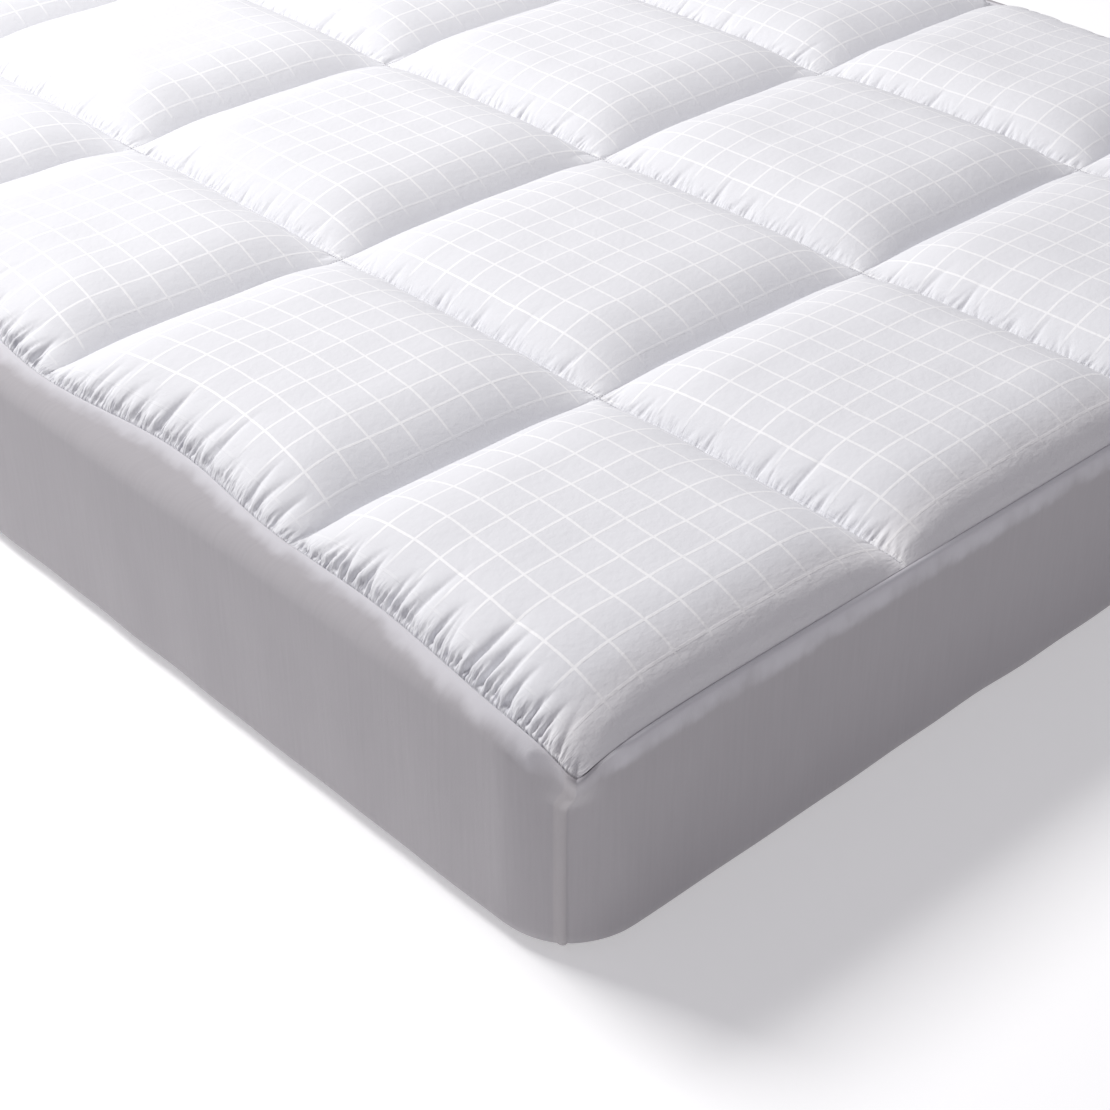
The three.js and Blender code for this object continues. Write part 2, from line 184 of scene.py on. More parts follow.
class NodeTree:
    """The node tree of one new material."""

    def __init__(self, name: str) -> None:
        """Makes an empty material.

        Args:
            name: the material's name.
        """
        self.material = bpy.data.materials.new(name)
        self.material.use_nodes = True
        self.tree = self.material.node_tree
        self.tree.nodes.clear()

    def add(self, kind: str, settings: dict | None = None, inputs: dict | None = None) -> NodeHandle:
        """Adds a node.

        Args:
            kind: the node's type.
            settings: its own properties, set first.
            inputs: values or links for its sockets, by name or place.

        Returns:
            The new node.
        """
        node = self.tree.nodes.new(kind)
        for name, value in (settings or {}).items():
            setattr(node, name, value)
        for key, value in (inputs or {}).items():
            if isinstance(value, Value):
                value = value.socket
            if isinstance(value, bpy.types.NodeSocket):
                self.tree.links.new(value, node.inputs[key])
            else:
                node.inputs[key].default_value = value
        return NodeHandle(self, node)

    def cloth_place(self) -> tuple[Value, Value, bpy.types.NodeSocket]:
        """Reads where a point lies on the flat cloth.

        Returns:
            Its two distances in metres, and both as one vector.
        """
        place = self.add("ShaderNodeUVMap", {"uv_map": CLOTH_MAP})
        split = self.add("ShaderNodeSeparateXYZ", inputs={"Vector": place.out("UV")})
        return split.value("X"), split.value("Y"), place.out("UV")

    def stretched(self, place: bpy.types.NodeSocket, scale: Point) -> bpy.types.NodeSocket:
        """A vector times a scale on each axis."""
        node = self.add("ShaderNodeVectorMath", {"operation": "MULTIPLY"}, {0: place, 1: scale})
        return node.out("Vector")

    def noise(self, place: bpy.types.NodeSocket, scale: float, detail: float = 2.0) -> Value:
        """Soft noise from 0 to 1.

        Args:
            place: where to read it.
            scale: lumps in a metre.
            detail: octaves.

        Returns:
            The noise, which is a half on the whole.
        """
        inputs = {"Vector": place, "Scale": scale, "Detail": detail, "Roughness": 0.55}
        return self.add("ShaderNodeTexNoise", {"noise_dimensions": "3D"}, inputs).value("Fac")

    def flecks(self, place: bpy.types.NodeSocket, pitch: float, radius: float) -> Value:
        """Small round specks, one to each cell of a loose grid.

        Args:
            place: where to read them, in metres.
            pitch: width of a cell, in metres.
            radius: radius of a speck, in metres.

        Returns:
            1 in a speck and 0 elsewhere.
        """
        settings = {"voronoi_dimensions": "3D", "feature": "F1"}
        cells = self.add("ShaderNodeTexVoronoi", settings, {"Vector": place, "Scale": 1 / pitch})
        return cells.value("Distance").below(radius / pitch, 0.35 * radius / pitch)

    def mixed(self, share: Value, first: Colour, second: Colour) -> bpy.types.NodeSocket:
        """A colour between two.

        Args:
            share: 0 for the first colour and 1 for the second.
            first: the first colour.
            second: the second colour.

        Returns:
            The mixed colour.
        """
        inputs = {"Factor": share, 6: (*first, 1.0), 7: (*second, 1.0)}
        return self.add("ShaderNodeMix", {"data_type": "RGBA"}, inputs).out(2)

    def tinted(self, colour: bpy.types.NodeSocket, share: Value, tint: Colour) -> bpy.types.NodeSocket:
        """A colour that goes over to a tint where the share is 1."""
        inputs = {"Factor": share, 6: colour, 7: (*tint, 1.0)}
        return self.add("ShaderNodeMix", {"data_type": "RGBA"}, inputs).out(2)

    def relief(self, height: Value, distance: float, strength: float = 1.0) -> bpy.types.NodeSocket:
        """A normal from a height.

        Args:
            height: from 0 to about 1.
            distance: how far a height of 1 stands up, in metres.
            strength: share of the relief.

        Returns:
            The normal.
        """
        inputs = {"Height": height, "Distance": distance, "Strength": strength}
        return self.add("ShaderNodeBump", inputs=inputs).out("Normal")

    def finish(self, inputs: dict) -> bpy.types.Material:
        """Adds the surface shader.

        Args:
            inputs: values or links for the Principled shader's sockets.

        Returns:
            The finished material.
        """
        shader = self.add("ShaderNodeBsdfPrincipled", inputs=inputs)
        self.add("ShaderNodeOutputMaterial", inputs={"Surface": shader.out("BSDF")})
        return self.material


@dataclass(frozen=True)
class CheckedCotton:
    """White cotton with a woven check of satin lines."""

    ground: Colour = (0.84, 0.845, 0.87)
    satin: Colour = (0.99, 0.99, 0.995)
    slub_shade: Colour = (0.74, 0.74, 0.77)
    fleck: Colour = (0.30, 0.29, 0.28)
    pitch_across: float = 37.8 * MM
    pitch_along: float = 36.4 * MM
    first_across: float = 27.0 * MM
    first_along: float = 35.5 * MM
    line: float = 2.7 * MM
    line_softness: float = 0.25 * MM
    # Painted sheen: the satin lines lose their sheen between these two distances from the gathered side
    # seams.
    sheen_fade_from: float = 26.0 * MM
    sheen_fade_to: float = 56.0 * MM
    wander: float = 1.6 * MM
    # Painted sheen: the satin lines lose their sheen where the normal's upward share falls below this.
    painted_sheen_tilt: float = 0.84
    wrinkle_pitch: float = 3.5 * MM
    wrinkle_reach: float = 14.0 * MM
    wrinkle_height: float = 4.6
    # Painted shade in the hollows of the fine wrinkles along the gathered seams, and how strongly it is
    # laid on.
    painted_wrinkle_shade: Colour = (0.46, 0.46, 0.51)
    painted_wrinkle_shade_share: float = 4.5
    weave_height: float = 0.30
    crumple_height: float = 1.1
    line_height: float = 0.22
    # The end flanks, within a reach of both ends of the cloth: their painted shade, a darker and warmer
    # tint, and their creases.
    flank_reach: float = 50.0 * MM
    flank_fade: float = 24.0 * MM
    painted_flank_shade_share: float = 0.34
    flank_height: float = 2.2
    painted_flank_shade: Colour = (0.79, 0.755, 0.745)

    def build(self, seams: dict[float, float], length: float) -> bpy.types.Material:
        """Makes the material.

        Args:
            seams: places of the gathered seams across the cloth, in metres, and how strongly
                the cloth is gathered at each.
            length: the cloth's length, in metres.

        Returns:
            The finished material.
        """
        nodes = NodeTree("checked_cotton")
        across, along, place = nodes.cloth_place()
        drift = (nodes.noise(place, 14.0) - 0.5) * (2 * self.wander)
        lines = None
        for distance, first, pitch in (
            (across, self.first_across, self.pitch_across), (along, self.first_along, self.pitch_along),
        ):
            gap = (distance + drift - first).from_line(pitch)
            mask = gap.below(self.line / 2, self.line_softness)
            lines = mask if lines is None else lines.larger(mask)
        # Painted sheen: the satin lines are lighter than the ground. Part of that is their own lighter
        # thread and part is painted sheen, which fades where the surface tilts away from straight up and
        # near the gathered side seams.
        facing = nodes.add("ShaderNodeSeparateXYZ", inputs={
            "Vector": nodes.add("ShaderNodeNewGeometry").out("Normal"),
        }).value("Z")
        tilted = facing.below(self.painted_sheen_tilt, 0.10)
        edge = across.from_line(max(seams))
        middle, softness = (self.sheen_fade_from + self.sheen_fade_to) / 2, (self.sheen_fade_to - self.sheen_fade_from) / 2
        sheen = lines * (1.0 - tilted) * (1.0 - edge.below(middle, softness) * 0.75)
        slub = nodes.noise(nodes.stretched(place, (1.0, 0.16, 1.0)), 900.0)
        cross_slub = nodes.noise(nodes.stretched(place, (0.16, 1.0, 1.0)), 900.0)
        weave = slub * 0.5 + cross_slub * 0.5
        crumple = nodes.noise(place, 120.0, 4.0)
        wrinkle = nodes.noise(nodes.stretched(place, (0.2, 1.0, 1.0)), 1 / self.wrinkle_pitch, 3.0)
        gathered = None
        for seam, strength in seams.items():
            mask = (across - seam).size().below(self.wrinkle_reach, self.wrinkle_reach) * strength
            gathered = mask if gathered is None else gathered.larger(mask)
        flank = along.from_line(length).below(self.flank_reach, self.flank_fade)
        creased = nodes.noise(nodes.stretched(place, (0.4, 1.0, 1.0)), 75.0, 3.0)
        # The satin lines' colour over the ground, with their painted sheen.
        colour = nodes.mixed(sheen, self.ground, self.satin)
        # Painted shade: the end flanks go over to a darker, warmer tint.
        colour = nodes.tinted(colour, flank * self.painted_flank_shade_share, self.painted_flank_shade)
        colour = nodes.tinted(colour, (weave - 0.42).below(0.0, 0.05) * 0.12, self.slub_shade)
        colour = nodes.tinted(colour, nodes.flecks(place, 0.19, 0.7 * MM) * 0.5, self.fleck)
        # Painted shade: the hollows of the fine wrinkles near the gathered seams are darkened.
        colour = nodes.tinted(colour, gathered * (0.5 - wrinkle) * self.painted_wrinkle_shade_share, self.painted_wrinkle_shade)
        height = weave * self.weave_height + crumple * self.crumple_height + lines * self.line_height
        height = height + wrinkle * gathered * self.wrinkle_height + creased * flank * self.flank_height
        return nodes.finish({
            "Base Color": colour,
            "Roughness": 0.86 - sheen * 0.24,
            "Specular IOR Level": 0.3,
            "Sheen Weight": 0.10,
            "Sheen Roughness": 0.5,
            "Normal": nodes.relief(height, 0.6 * MM),
        })


@dataclass(frozen=True)
class StretchKnit:
    """White stretch knit with faint upright ribs, coloured a mid grey well below its own white: painted
    shade over the whole skirt.
    """

    # Painted shade: the knit's two tones are a mid grey, darker than the white knit itself.
    light: Colour = (0.495, 0.478, 0.495)
    dark: Colour = (0.400, 0.383, 0.400)
    # Painted light: a near-white band along the top of the skirt, where it rolls over the mattress's
    # edge. It is weaker near the upright corner seam.
    edge: Colour = (0.84, 0.835, 0.875)
    painted_light_width: float = 12.0 * MM
    corner_width: float = 34.0 * MM
    corner_fade: float = 20.0 * MM
    corner_loss: float = 0.40
    painted_light_fade: float = 8.0 * MM
    painted_light_share: float = 0.60
    cloud_shift: float = 16.0 * MM
    patch_shift: float = 14.0 * MM
    folded: Colour = (0.62, 0.585, 0.575)
    folded_width: float = 13.0 * MM
    folded_share: float = 0.24
    fleck: Colour = (0.24, 0.23, 0.23)

    def build(self, length: float) -> bpy.types.Material:
        """Makes the material.

        Args:
            length: length of the strip, from its upright seam round to it again, in metres.

        Returns:
            The finished material.
        """
        nodes = NodeTree("stretch_knit")
        around, down, place = nodes.cloth_place()
        ribs = nodes.noise(nodes.stretched(place, (1.0, 0.05, 1.0)), 240.0)
        fine = nodes.noise(nodes.stretched(place, (1.0, 0.30, 1.0)), 1100.0)
        cloud = nodes.noise(place, 9.0)
        patches = nodes.noise(place, 42.0)
        tone = ribs * 0.45 + fine * 0.25 + cloud * 0.30
        # Painted shade: the random tones lie between the two mid greys.
        colour = nodes.mixed(tone, self.dark, self.light)
        # Painted light: the band along the skirt's top goes over to near white and has a ragged lower
        # border. It is weaker near the upright corner seam.
        ragged = down + (cloud - 0.5) * self.cloud_shift + (patches - 0.5) * self.patch_shift
        from_seam = length / 2 - (around - length / 2).size()
        edge = ragged.below(self.painted_light_width, self.painted_light_fade)
        corner = from_seam.below(self.corner_width, self.corner_fade)
        edge = edge * (self.painted_light_share - corner * self.corner_loss)
        colour = nodes.tinted(colour, edge, self.edge)
        half = self.folded_width / 2
        strip = (around - (length - half)).size().below(half, 1.2 * MM)
        colour = nodes.tinted(colour, strip * self.folded_share, self.folded)
        colour = nodes.tinted(colour, nodes.flecks(place, 0.23, 0.9 * MM) * 0.6, self.fleck)
        return nodes.finish({
            "Base Color": colour,
            "Roughness": 0.93,
            "Specular IOR Level": 0.25,
            "Sheen Weight": 0.12,
            "Sheen Roughness": 0.6,
            "Normal": nodes.relief(ribs * 0.5 + fine * 0.5, 0.35 * MM),
        })


@dataclass(frozen=True)
class SewingThread:
    """White sewing thread."""

    light: Colour = (0.80, 0.80, 0.82)
    dark: Colour = (0.66, 0.66, 0.69)
    twists: float = 1500.0

    def build(self) -> bpy.types.Material:
        """Makes the material.

        Returns:
            The finished material.
        """
        nodes = NodeTree("sewing_thread")
        place = nodes.add("ShaderNodeTexCoord").out("Object")
        twist = nodes.noise(place, self.twists)
        colour = nodes.mixed(twist, self.light, self.dark)
        return nodes.finish({
            "Base Color": colour,
            "Roughness": 0.55,
            "Normal": nodes.relief(twist, 0.2 * MM),
        })


@dataclass(frozen=True)
class MattressTicking:
    """Pale striped cotton ticking."""

    ground: Colour = (0.74, 0.72, 0.67)
    stripe: Colour = (0.62, 0.62, 0.62)
    pitch: float = 24 * MM
    half_stripe: float = 3 * MM
    threads: float = 900.0

    def build(self) -> bpy.types.Material:
        """Makes the material.

        Returns:
            The finished material.
        """
        nodes = NodeTree("mattress_ticking")
        place = nodes.add("ShaderNodeTexCoord").out("Object")
        across = nodes.add("ShaderNodeSeparateXYZ", inputs={"Vector": place}).value("X")
        stripes = across.from_line(self.pitch).below(self.half_stripe, 0.4 * MM)
        weave = nodes.noise(nodes.stretched(place, (1.0, 0.2, 1.0)), self.threads)
        return nodes.finish({
            "Base Color": nodes.mixed(stripes * 0.6 + weave * 0.3, self.ground, self.stripe),
            "Roughness": 0.9,
            "Normal": nodes.relief(weave, 0.3 * MM),
        })


@dataclass(frozen=True)
class PaleFloor:
    """Plain pale floor."""

    colour: Colour = (0.88, 0.88, 0.885)
    glow: float = 0.30

    def build(self) -> bpy.types.Material:
        """Makes the material.

        Returns:
            The finished material.
        """
        nodes = NodeTree("pale_floor")
        return nodes.finish({
            "Base Color": (*self.colour, 1.0),
            "Roughness": 0.9,
            "Emission Color": (1.0, 1.0, 1.0, 1.0),
            "Emission Strength": self.glow,
        })


class MeshMaker:
    """Collects points, in millimetres, and faces, and makes one Blender object of them."""

    def __init__(self) -> None:
        """Starts empty."""
        self.points: list[np.ndarray] = []
        self.cloth: list[np.ndarray] = []
        self.faces: list[np.ndarray] = []
        self.count = 0

    def add_points(self, points: np.ndarray, cloth: np.ndarray) -> np.ndarray:
        """Adds a block of points.

        Args:
            points: places, in the last axis.
            cloth: their two distances on the flat cloth, in the last axis.

        Returns:
            Their numbers, in the block's shape.
        """
        shape = points.shape[:-1]
        self.points.append(points.reshape(-1, 3))
        self.cloth.append(np.broadcast_to(cloth, (*shape, 2)).reshape(-1, 2))
        ids = self.count + np.arange(int(np.prod(shape))).reshape(shape)
        self.count += ids.size
        return ids

    def add_grid(self, ids: np.ndarray) -> None:
        """Adds the four-sided faces between neighbours in a two-way block of points."""
        corners = [ids[:-1, :-1], ids[:-1, 1:], ids[1:, 1:], ids[1:, :-1]]
        self.faces.append(np.stack([c.ravel() for c in corners], axis=1))

    def add_zip(self, first: np.ndarray, first_at: np.ndarray, second: np.ndarray,
                second_at: np.ndarray) -> None:
        """Adds triangles between two lines of points that run side by side.

        Args:
            first: point numbers along one line.
            first_at: how far along each of them is.
            second: point numbers along the other line.
            second_at: how far along each of them is.
        """
        faces, a, b = [], 0, 0
        while a + 1 < len(first) or b + 1 < len(second):
            step_first = b + 1 == len(second) or (
                a + 1 < len(first) and first_at[a + 1] <= second_at[b + 1]
            )
            if step_first:
                faces.append((first[a], first[a + 1], second[b]))
                a += 1
            else:
                faces.append((first[a], second[b + 1], second[b]))
                b += 1
        self.faces.append(np.array(faces))

    def build(self, name: str, material: bpy.types.Material, sharp: float = 65.0,
              weld: bool = False) -> bpy.types.Object:
        """Makes the object.

        Args:
            name: the piece's name.
            material: its finish.
            sharp: an edge that turns more than this, in degrees, is a crease.
            weld: whether points in one place become one.

        Returns:
            The new object, smooth shaded, with its faces pointing out.
        """
        mesh = bpy.data.meshes.new(name)
        points = np.concatenate(self.points) * MM
        cloth = np.concatenate(self.cloth) * MM
        corners = np.concatenate([f.ravel() for f in self.faces]).astype(np.int32)
        sizes = np.concatenate([np.full(len(f), f.shape[1]) for f in self.faces])
        starts = np.concatenate([[0], np.cumsum(sizes)[:-1]]).astype(np.int32)
        mesh.vertices.add(len(points))
        mesh.vertices.foreach_set("co", points.astype(np.float32).ravel())
        mesh.loops.add(len(corners))
        mesh.loops.foreach_set("vertex_index", corners)
        mesh.polygons.add(len(sizes))
        mesh.polygons.foreach_set("loop_start", starts)
        mesh.update(calc_edges=True)
        layer = mesh.uv_layers.new(name=CLOTH_MAP)
        layer.uv.foreach_set("vector", cloth[corners].astype(np.float32).ravel())
        shaped = bmesh.new()
        shaped.from_mesh(mesh)
        if weld:
            bmesh.ops.remove_doubles(shaped, verts=shaped.verts, dist=1e-3 * MM)
        bmesh.ops.recalc_face_normals(shaped, faces=shaped.faces)
        shaped.to_mesh(mesh)
        shaped.free()
        mesh.shade_smooth()
        mesh.set_sharp_from_angle(angle=math.radians(sharp))
        mesh.materials.append(material)
        made = bpy.data.objects.new(name, mesh)
        bpy.context.scene.collection.objects.link(made)
        return made


def smooth(share: np.ndarray) -> np.ndarray:
    """Goes smoothly from 0 to 1 as share does, and stays there."""
    t = np.clip(share, 0, 1)
    return t * t * (3 - 2 * t)


@dataclass
class Unevenness:
    """Soft lumps: a sum of waves in random directions."""

    seed: int
    shortest: float
    longest: float
    waves: int = 14

    def __post_init__(self) -> None:
        """Draws the waves."""
        draw = np.random.default_rng(self.seed)
        lengths = draw.uniform(self.shortest, self.longest, self.waves)
        turns = draw.uniform(0, 2 * math.pi, self.waves)
        self.pull = np.stack([np.cos(turns), np.sin(turns)]) * (2 * math.pi / lengths)
        self.phase = draw.uniform(0, 2 * math.pi, self.waves)

    def at(self, x: np.ndarray, y: np.ndarray) -> np.ndarray:
        """Height at places.

        Args:
            x: places across.
            y: places along.

        Returns:
            The heights, about 1 at the most.
        """
        total = sum(
            np.sin(px * x + py * y + phase)
            for px, py, phase in zip(*self.pull, self.phase, strict=True)
        )
        return total / math.sqrt(2 * self.waves)


@dataclass
class Bed:
    """The sizes that the panel and the skirt share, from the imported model."""

    corner_radius: float = 80.0
    corner_sink: float = 12.0
    corner_sink_reach: float = 108.0
    corner_spread: float = 18.0
    corner_spread_from: float = 60.0
    corner_spread_to: float = 300.0
    side_draw: float = 18.0
    columns: int = 4
    rows: int = 5
    outer_box_share: float = 0.95
    corner_rounding: float = 12.5
    corner_drop: float = 22.0
    corner_drop_reach: float = 45.0
    side_edge_drop: float = 0.6
    end_edge_drop: float = 4.6
    end_edge_reach: float = 13.0
    edge_flat: float = 78.0
    gap: float = 0.3
    seam_gap: float = 0.4
    channel_thickness: float = 9.0

    def __post_init__(self) -> None:
        """Reads the sizes of the mattress and of the panel's edge, and places the seams."""
        low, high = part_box("mattress")
        self.half_width, self.half_length = high.x / MM, high.y / MM
        self.bottom, self.top = low.z / MM, high.z / MM
        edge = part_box("quilted_panel")[1]
        self.panel_half_width = edge.x / MM - self.corner_spread
        self.panel_half_length = edge.y / MM
        self.channel_top = self.top + self.gap + self.channel_thickness
        self.seams_x = self.seam_places(self.panel_half_width, self.columns)
        self.seams_y = self.seam_places(self.panel_half_length, self.rows)

    def seam_places(self, half: float, boxes: int) -> np.ndarray:
        """Places of the seams across the panel, one way.

        Args:
            half: half the panel's width or length.
            boxes: number of boxes that way, of which the first and last are narrower.

        Returns:
            The places, from edge to edge.
        """
        inner = 2 * half / (boxes - 2 + 2 * self.outer_box_share)
        sizes = np.full(boxes, inner)
        sizes[[0, -1]] *= self.outer_box_share
        return np.concatenate([[-half], -half + np.cumsum(sizes)])

    def outside(self, x: np.ndarray, y: np.ndarray) -> np.ndarray:
        """How far places in plan lie outside the mattress's wall.

        Args:
            x: places across.
            y: places along.

        Returns:
            The distances, negative inside the wall.
        """
        dx = np.abs(x) - (self.half_width - self.corner_radius)
        dy = np.abs(y) - (self.half_length - self.corner_radius)
        reach = np.hypot(np.maximum(dx, 0), np.maximum(dy, 0)) + np.minimum(np.maximum(dx, dy), 0)
        return reach - self.corner_radius

    def sink(self, x: np.ndarray, y: np.ndarray) -> np.ndarray:
        """How far the mattress's soft corners are pressed down."""
        r = np.hypot(np.abs(x) - self.half_width, np.abs(y) - self.half_length)
        return self.corner_sink * np.maximum(0, 1 - (r / self.corner_sink_reach) ** 2) ** 2

    def spread(self, distance: np.ndarray) -> np.ndarray:
        """How far the panel's side edge lies outside its straight line.

        Args:
            distance: distances along it from the nearest corner.

        Returns:
            The distances outside the line: out at the corners, in between the channels.
        """
        outer_box, inner_box = np.diff(self.seams_y)[:2]
        drawn = self.side_draw * np.sin(math.pi * (distance - outer_box) / inner_box) ** 2
        reach = self.corner_spread_to - self.corner_spread_from
        spread = self.corner_spread * (1 - smooth((distance - self.corner_spread_from) / reach))
        return np.where(distance < outer_box, spread, -drawn)

    def droop(self, distance: np.ndarray) -> np.ndarray:
        """Share of the corner's drop at a distance from a corner."""
        return np.exp(-distance / self.corner_drop_reach)

    def edge_depth(self, distance: np.ndarray, edge_drop: float) -> np.ndarray:
        """How far an edge with its own drop lies below the channels, at distances from a corner."""
        drop = self.droop(distance)
        return edge_drop * (1 - drop) + self.corner_drop * drop

    def rounded(self, side: np.ndarray, end: np.ndarray) -> tuple[np.ndarray, np.ndarray]:
        """Rounds a corner of the panel in plan.

        Args:
            side: distances in from the side edge.
            end: distances in from the end edge.

        Returns:
            The two distances after rounding.
        """
        a = np.maximum(self.corner_rounding - side, 0)
        b = np.maximum(self.corner_rounding - end, 0)
        reach = np.hypot(a, b)
        scale = np.where(reach > 0, np.maximum(a, b) / np.maximum(reach, 1e-9), 1.0)
        return (
            np.where(a > 0, self.corner_rounding - a * scale, side),
            np.where(b > 0, self.corner_rounding - b * scale, end),
        )


@dataclass(frozen=True)
class Folds:
    """One size of fold among the gathers: how far apart, how long and how deep they are."""

    pitch: float
    reach: float
    depth: float
    width: float


@dataclass
class Gathers:
    """The folds where cloth is gathered along a seam. The small ones run into the larger."""

    seed: int
    length: float
    strength: float
    tiers: tuple[Folds, ...]
    by_hand: tuple[tuple[float, float, float], ...] = ()
    hand_end: float = 0.0
    lean: float = -0.16
    pull: float = 0.75
    steepest: float = 0.7
    swell: float = 0.9
    calm: float = 0.7
    calm_fade: float = 80.0
    seam_fade: float = 4.0
    swell_fade: float = 8.0
    patch: float = 150.0

    def __post_init__(self) -> None:
        """Draws the folds, from the largest to the smallest."""
        draw = np.random.default_rng(self.seed)
        self.patches = Unevenness(self.seed, self.patch, 4 * self.patch)
        rows: list[np.ndarray] = []
        larger = np.zeros((0, 5))
        for tier, size in enumerate(self.tiers):
            at = np.cumsum(size.pitch * draw.uniform(0.45, 1.55, int(1.2 * self.length / size.pitch)))
            at = at[(at < self.length) & ((tier > 0) | (at > self.hand_end))]
            reach = size.reach * draw.uniform(0.5, 1.6, len(at))
            depth = size.depth * draw.uniform(0.5, 1.4, len(at))
            width = size.width * draw.uniform(0.75, 1.3, len(at)) * (reach / size.reach) ** 0.5
            slant = reach * (self.lean + draw.uniform(-0.18, 0.18, len(at)))
            folds = np.stack([at, reach, depth, width, slant], axis=1)
            if tier == 0 and self.by_hand:
                hand = np.array(self.by_hand)
                widths = size.width * (hand[:, 1] / size.reach) ** 0.5
                slants = self.lean * hand[:, 1]
                folds = np.concatenate([folds, np.column_stack([hand, widths, slants])])
            if len(larger):
                self.run_into(folds, larger)
            rows.append(folds)
            larger = folds[np.argsort(folds[:, 0])]
        self.folds = np.concatenate(rows)

    def run_into(self, folds: np.ndarray, larger: np.ndarray) -> None:
        """Turns folds so that each runs towards the nearest larger one.

        Args:
            folds: the folds to turn, one in each row.
            larger: the next larger folds.
        """
        nearest = np.abs(folds[:, :1] - larger[None, :, 0]).argmin(axis=1)
        host = larger[nearest]
        meeting = host[:, 0] + host[:, 4] * np.clip(folds[:, 1] / host[:, 1], 0, 1)
        turn = self.pull * (meeting - folds[:, 0])
        limit = self.steepest * folds[:, 1]
        folds[:, 4] = np.clip(turn, -limit, limit)

    def press(self, seam_distance: np.ndarray, along: np.ndarray) -> np.ndarray:
        """How far the cloth is pressed in.

        Args:
            seam_distance: distances from the seam, one for each column.
            along: distances along the seam, one for each row.

        Returns:
            A depth for each row and column; negative where the cloth is pushed out.
        """
        depths = np.zeros((len(along), len(seam_distance)))
        for at, reach, depth, width, slant in self.folds:
            columns = int(np.searchsorted(seam_distance, reach))
            far = 6 * width + abs(slant)
            first, last = np.searchsorted(along, (at - far, at + far))
            if columns == 0 or first == last:
                continue
            share = seam_distance[:columns] / reach
            across = np.abs(along[first:last, None] - at - slant * share)
            spread = width * (0.5 + 0.9 * share)
            shape = np.exp(0.15 - np.sqrt((across / spread) ** 2 + 0.0225))
            sewn = smooth(seam_distance[:columns] / self.seam_fade)
            fade = (1 - share ** 2) ** 2 * (0.3 + 0.7 * sewn)
            depths[first:last, :columns] += depth * shape * fade
        for size in self.tiers:
            lost = 2 * size.depth * size.width / size.pitch
            fade = np.exp(-((seam_distance / (0.6 * size.reach)) ** 2))
            depths -= self.swell * lost * (fade * smooth(seam_distance / self.swell_fade))
        strength = self.strength * (1 + 0.3 * self.patches.at(along, along))
        if self.by_hand:
            strength *= 1 - (1 - self.calm) * smooth((along - self.hand_end) / self.calm_fade)
        return strength[:, None] * depths


@dataclass(frozen=True)
class Shoulder:
    """How filled cloth climbs from a seam to the crown of its box."""

    reach: float
    roundness: float
    fullness: float
    swing: float = 0.0
    swing_reach: float = 34.0

    def share(self, near: np.ndarray) -> np.ndarray:
        """Share of the climb that is done at distances from the seam."""
        rest = 1 - np.clip(near / self.reach, 0, 1)
        return (1 - rest ** self.roundness) ** (1 / self.fullness)

    def bulge(self, near: np.ndarray) -> np.ndarray:
        """How far the cloth swings out past the seam at distances from it."""
        return self.swing * np.sin(math.pi * np.clip(near / self.swing_reach, 0, 1)) ** 2


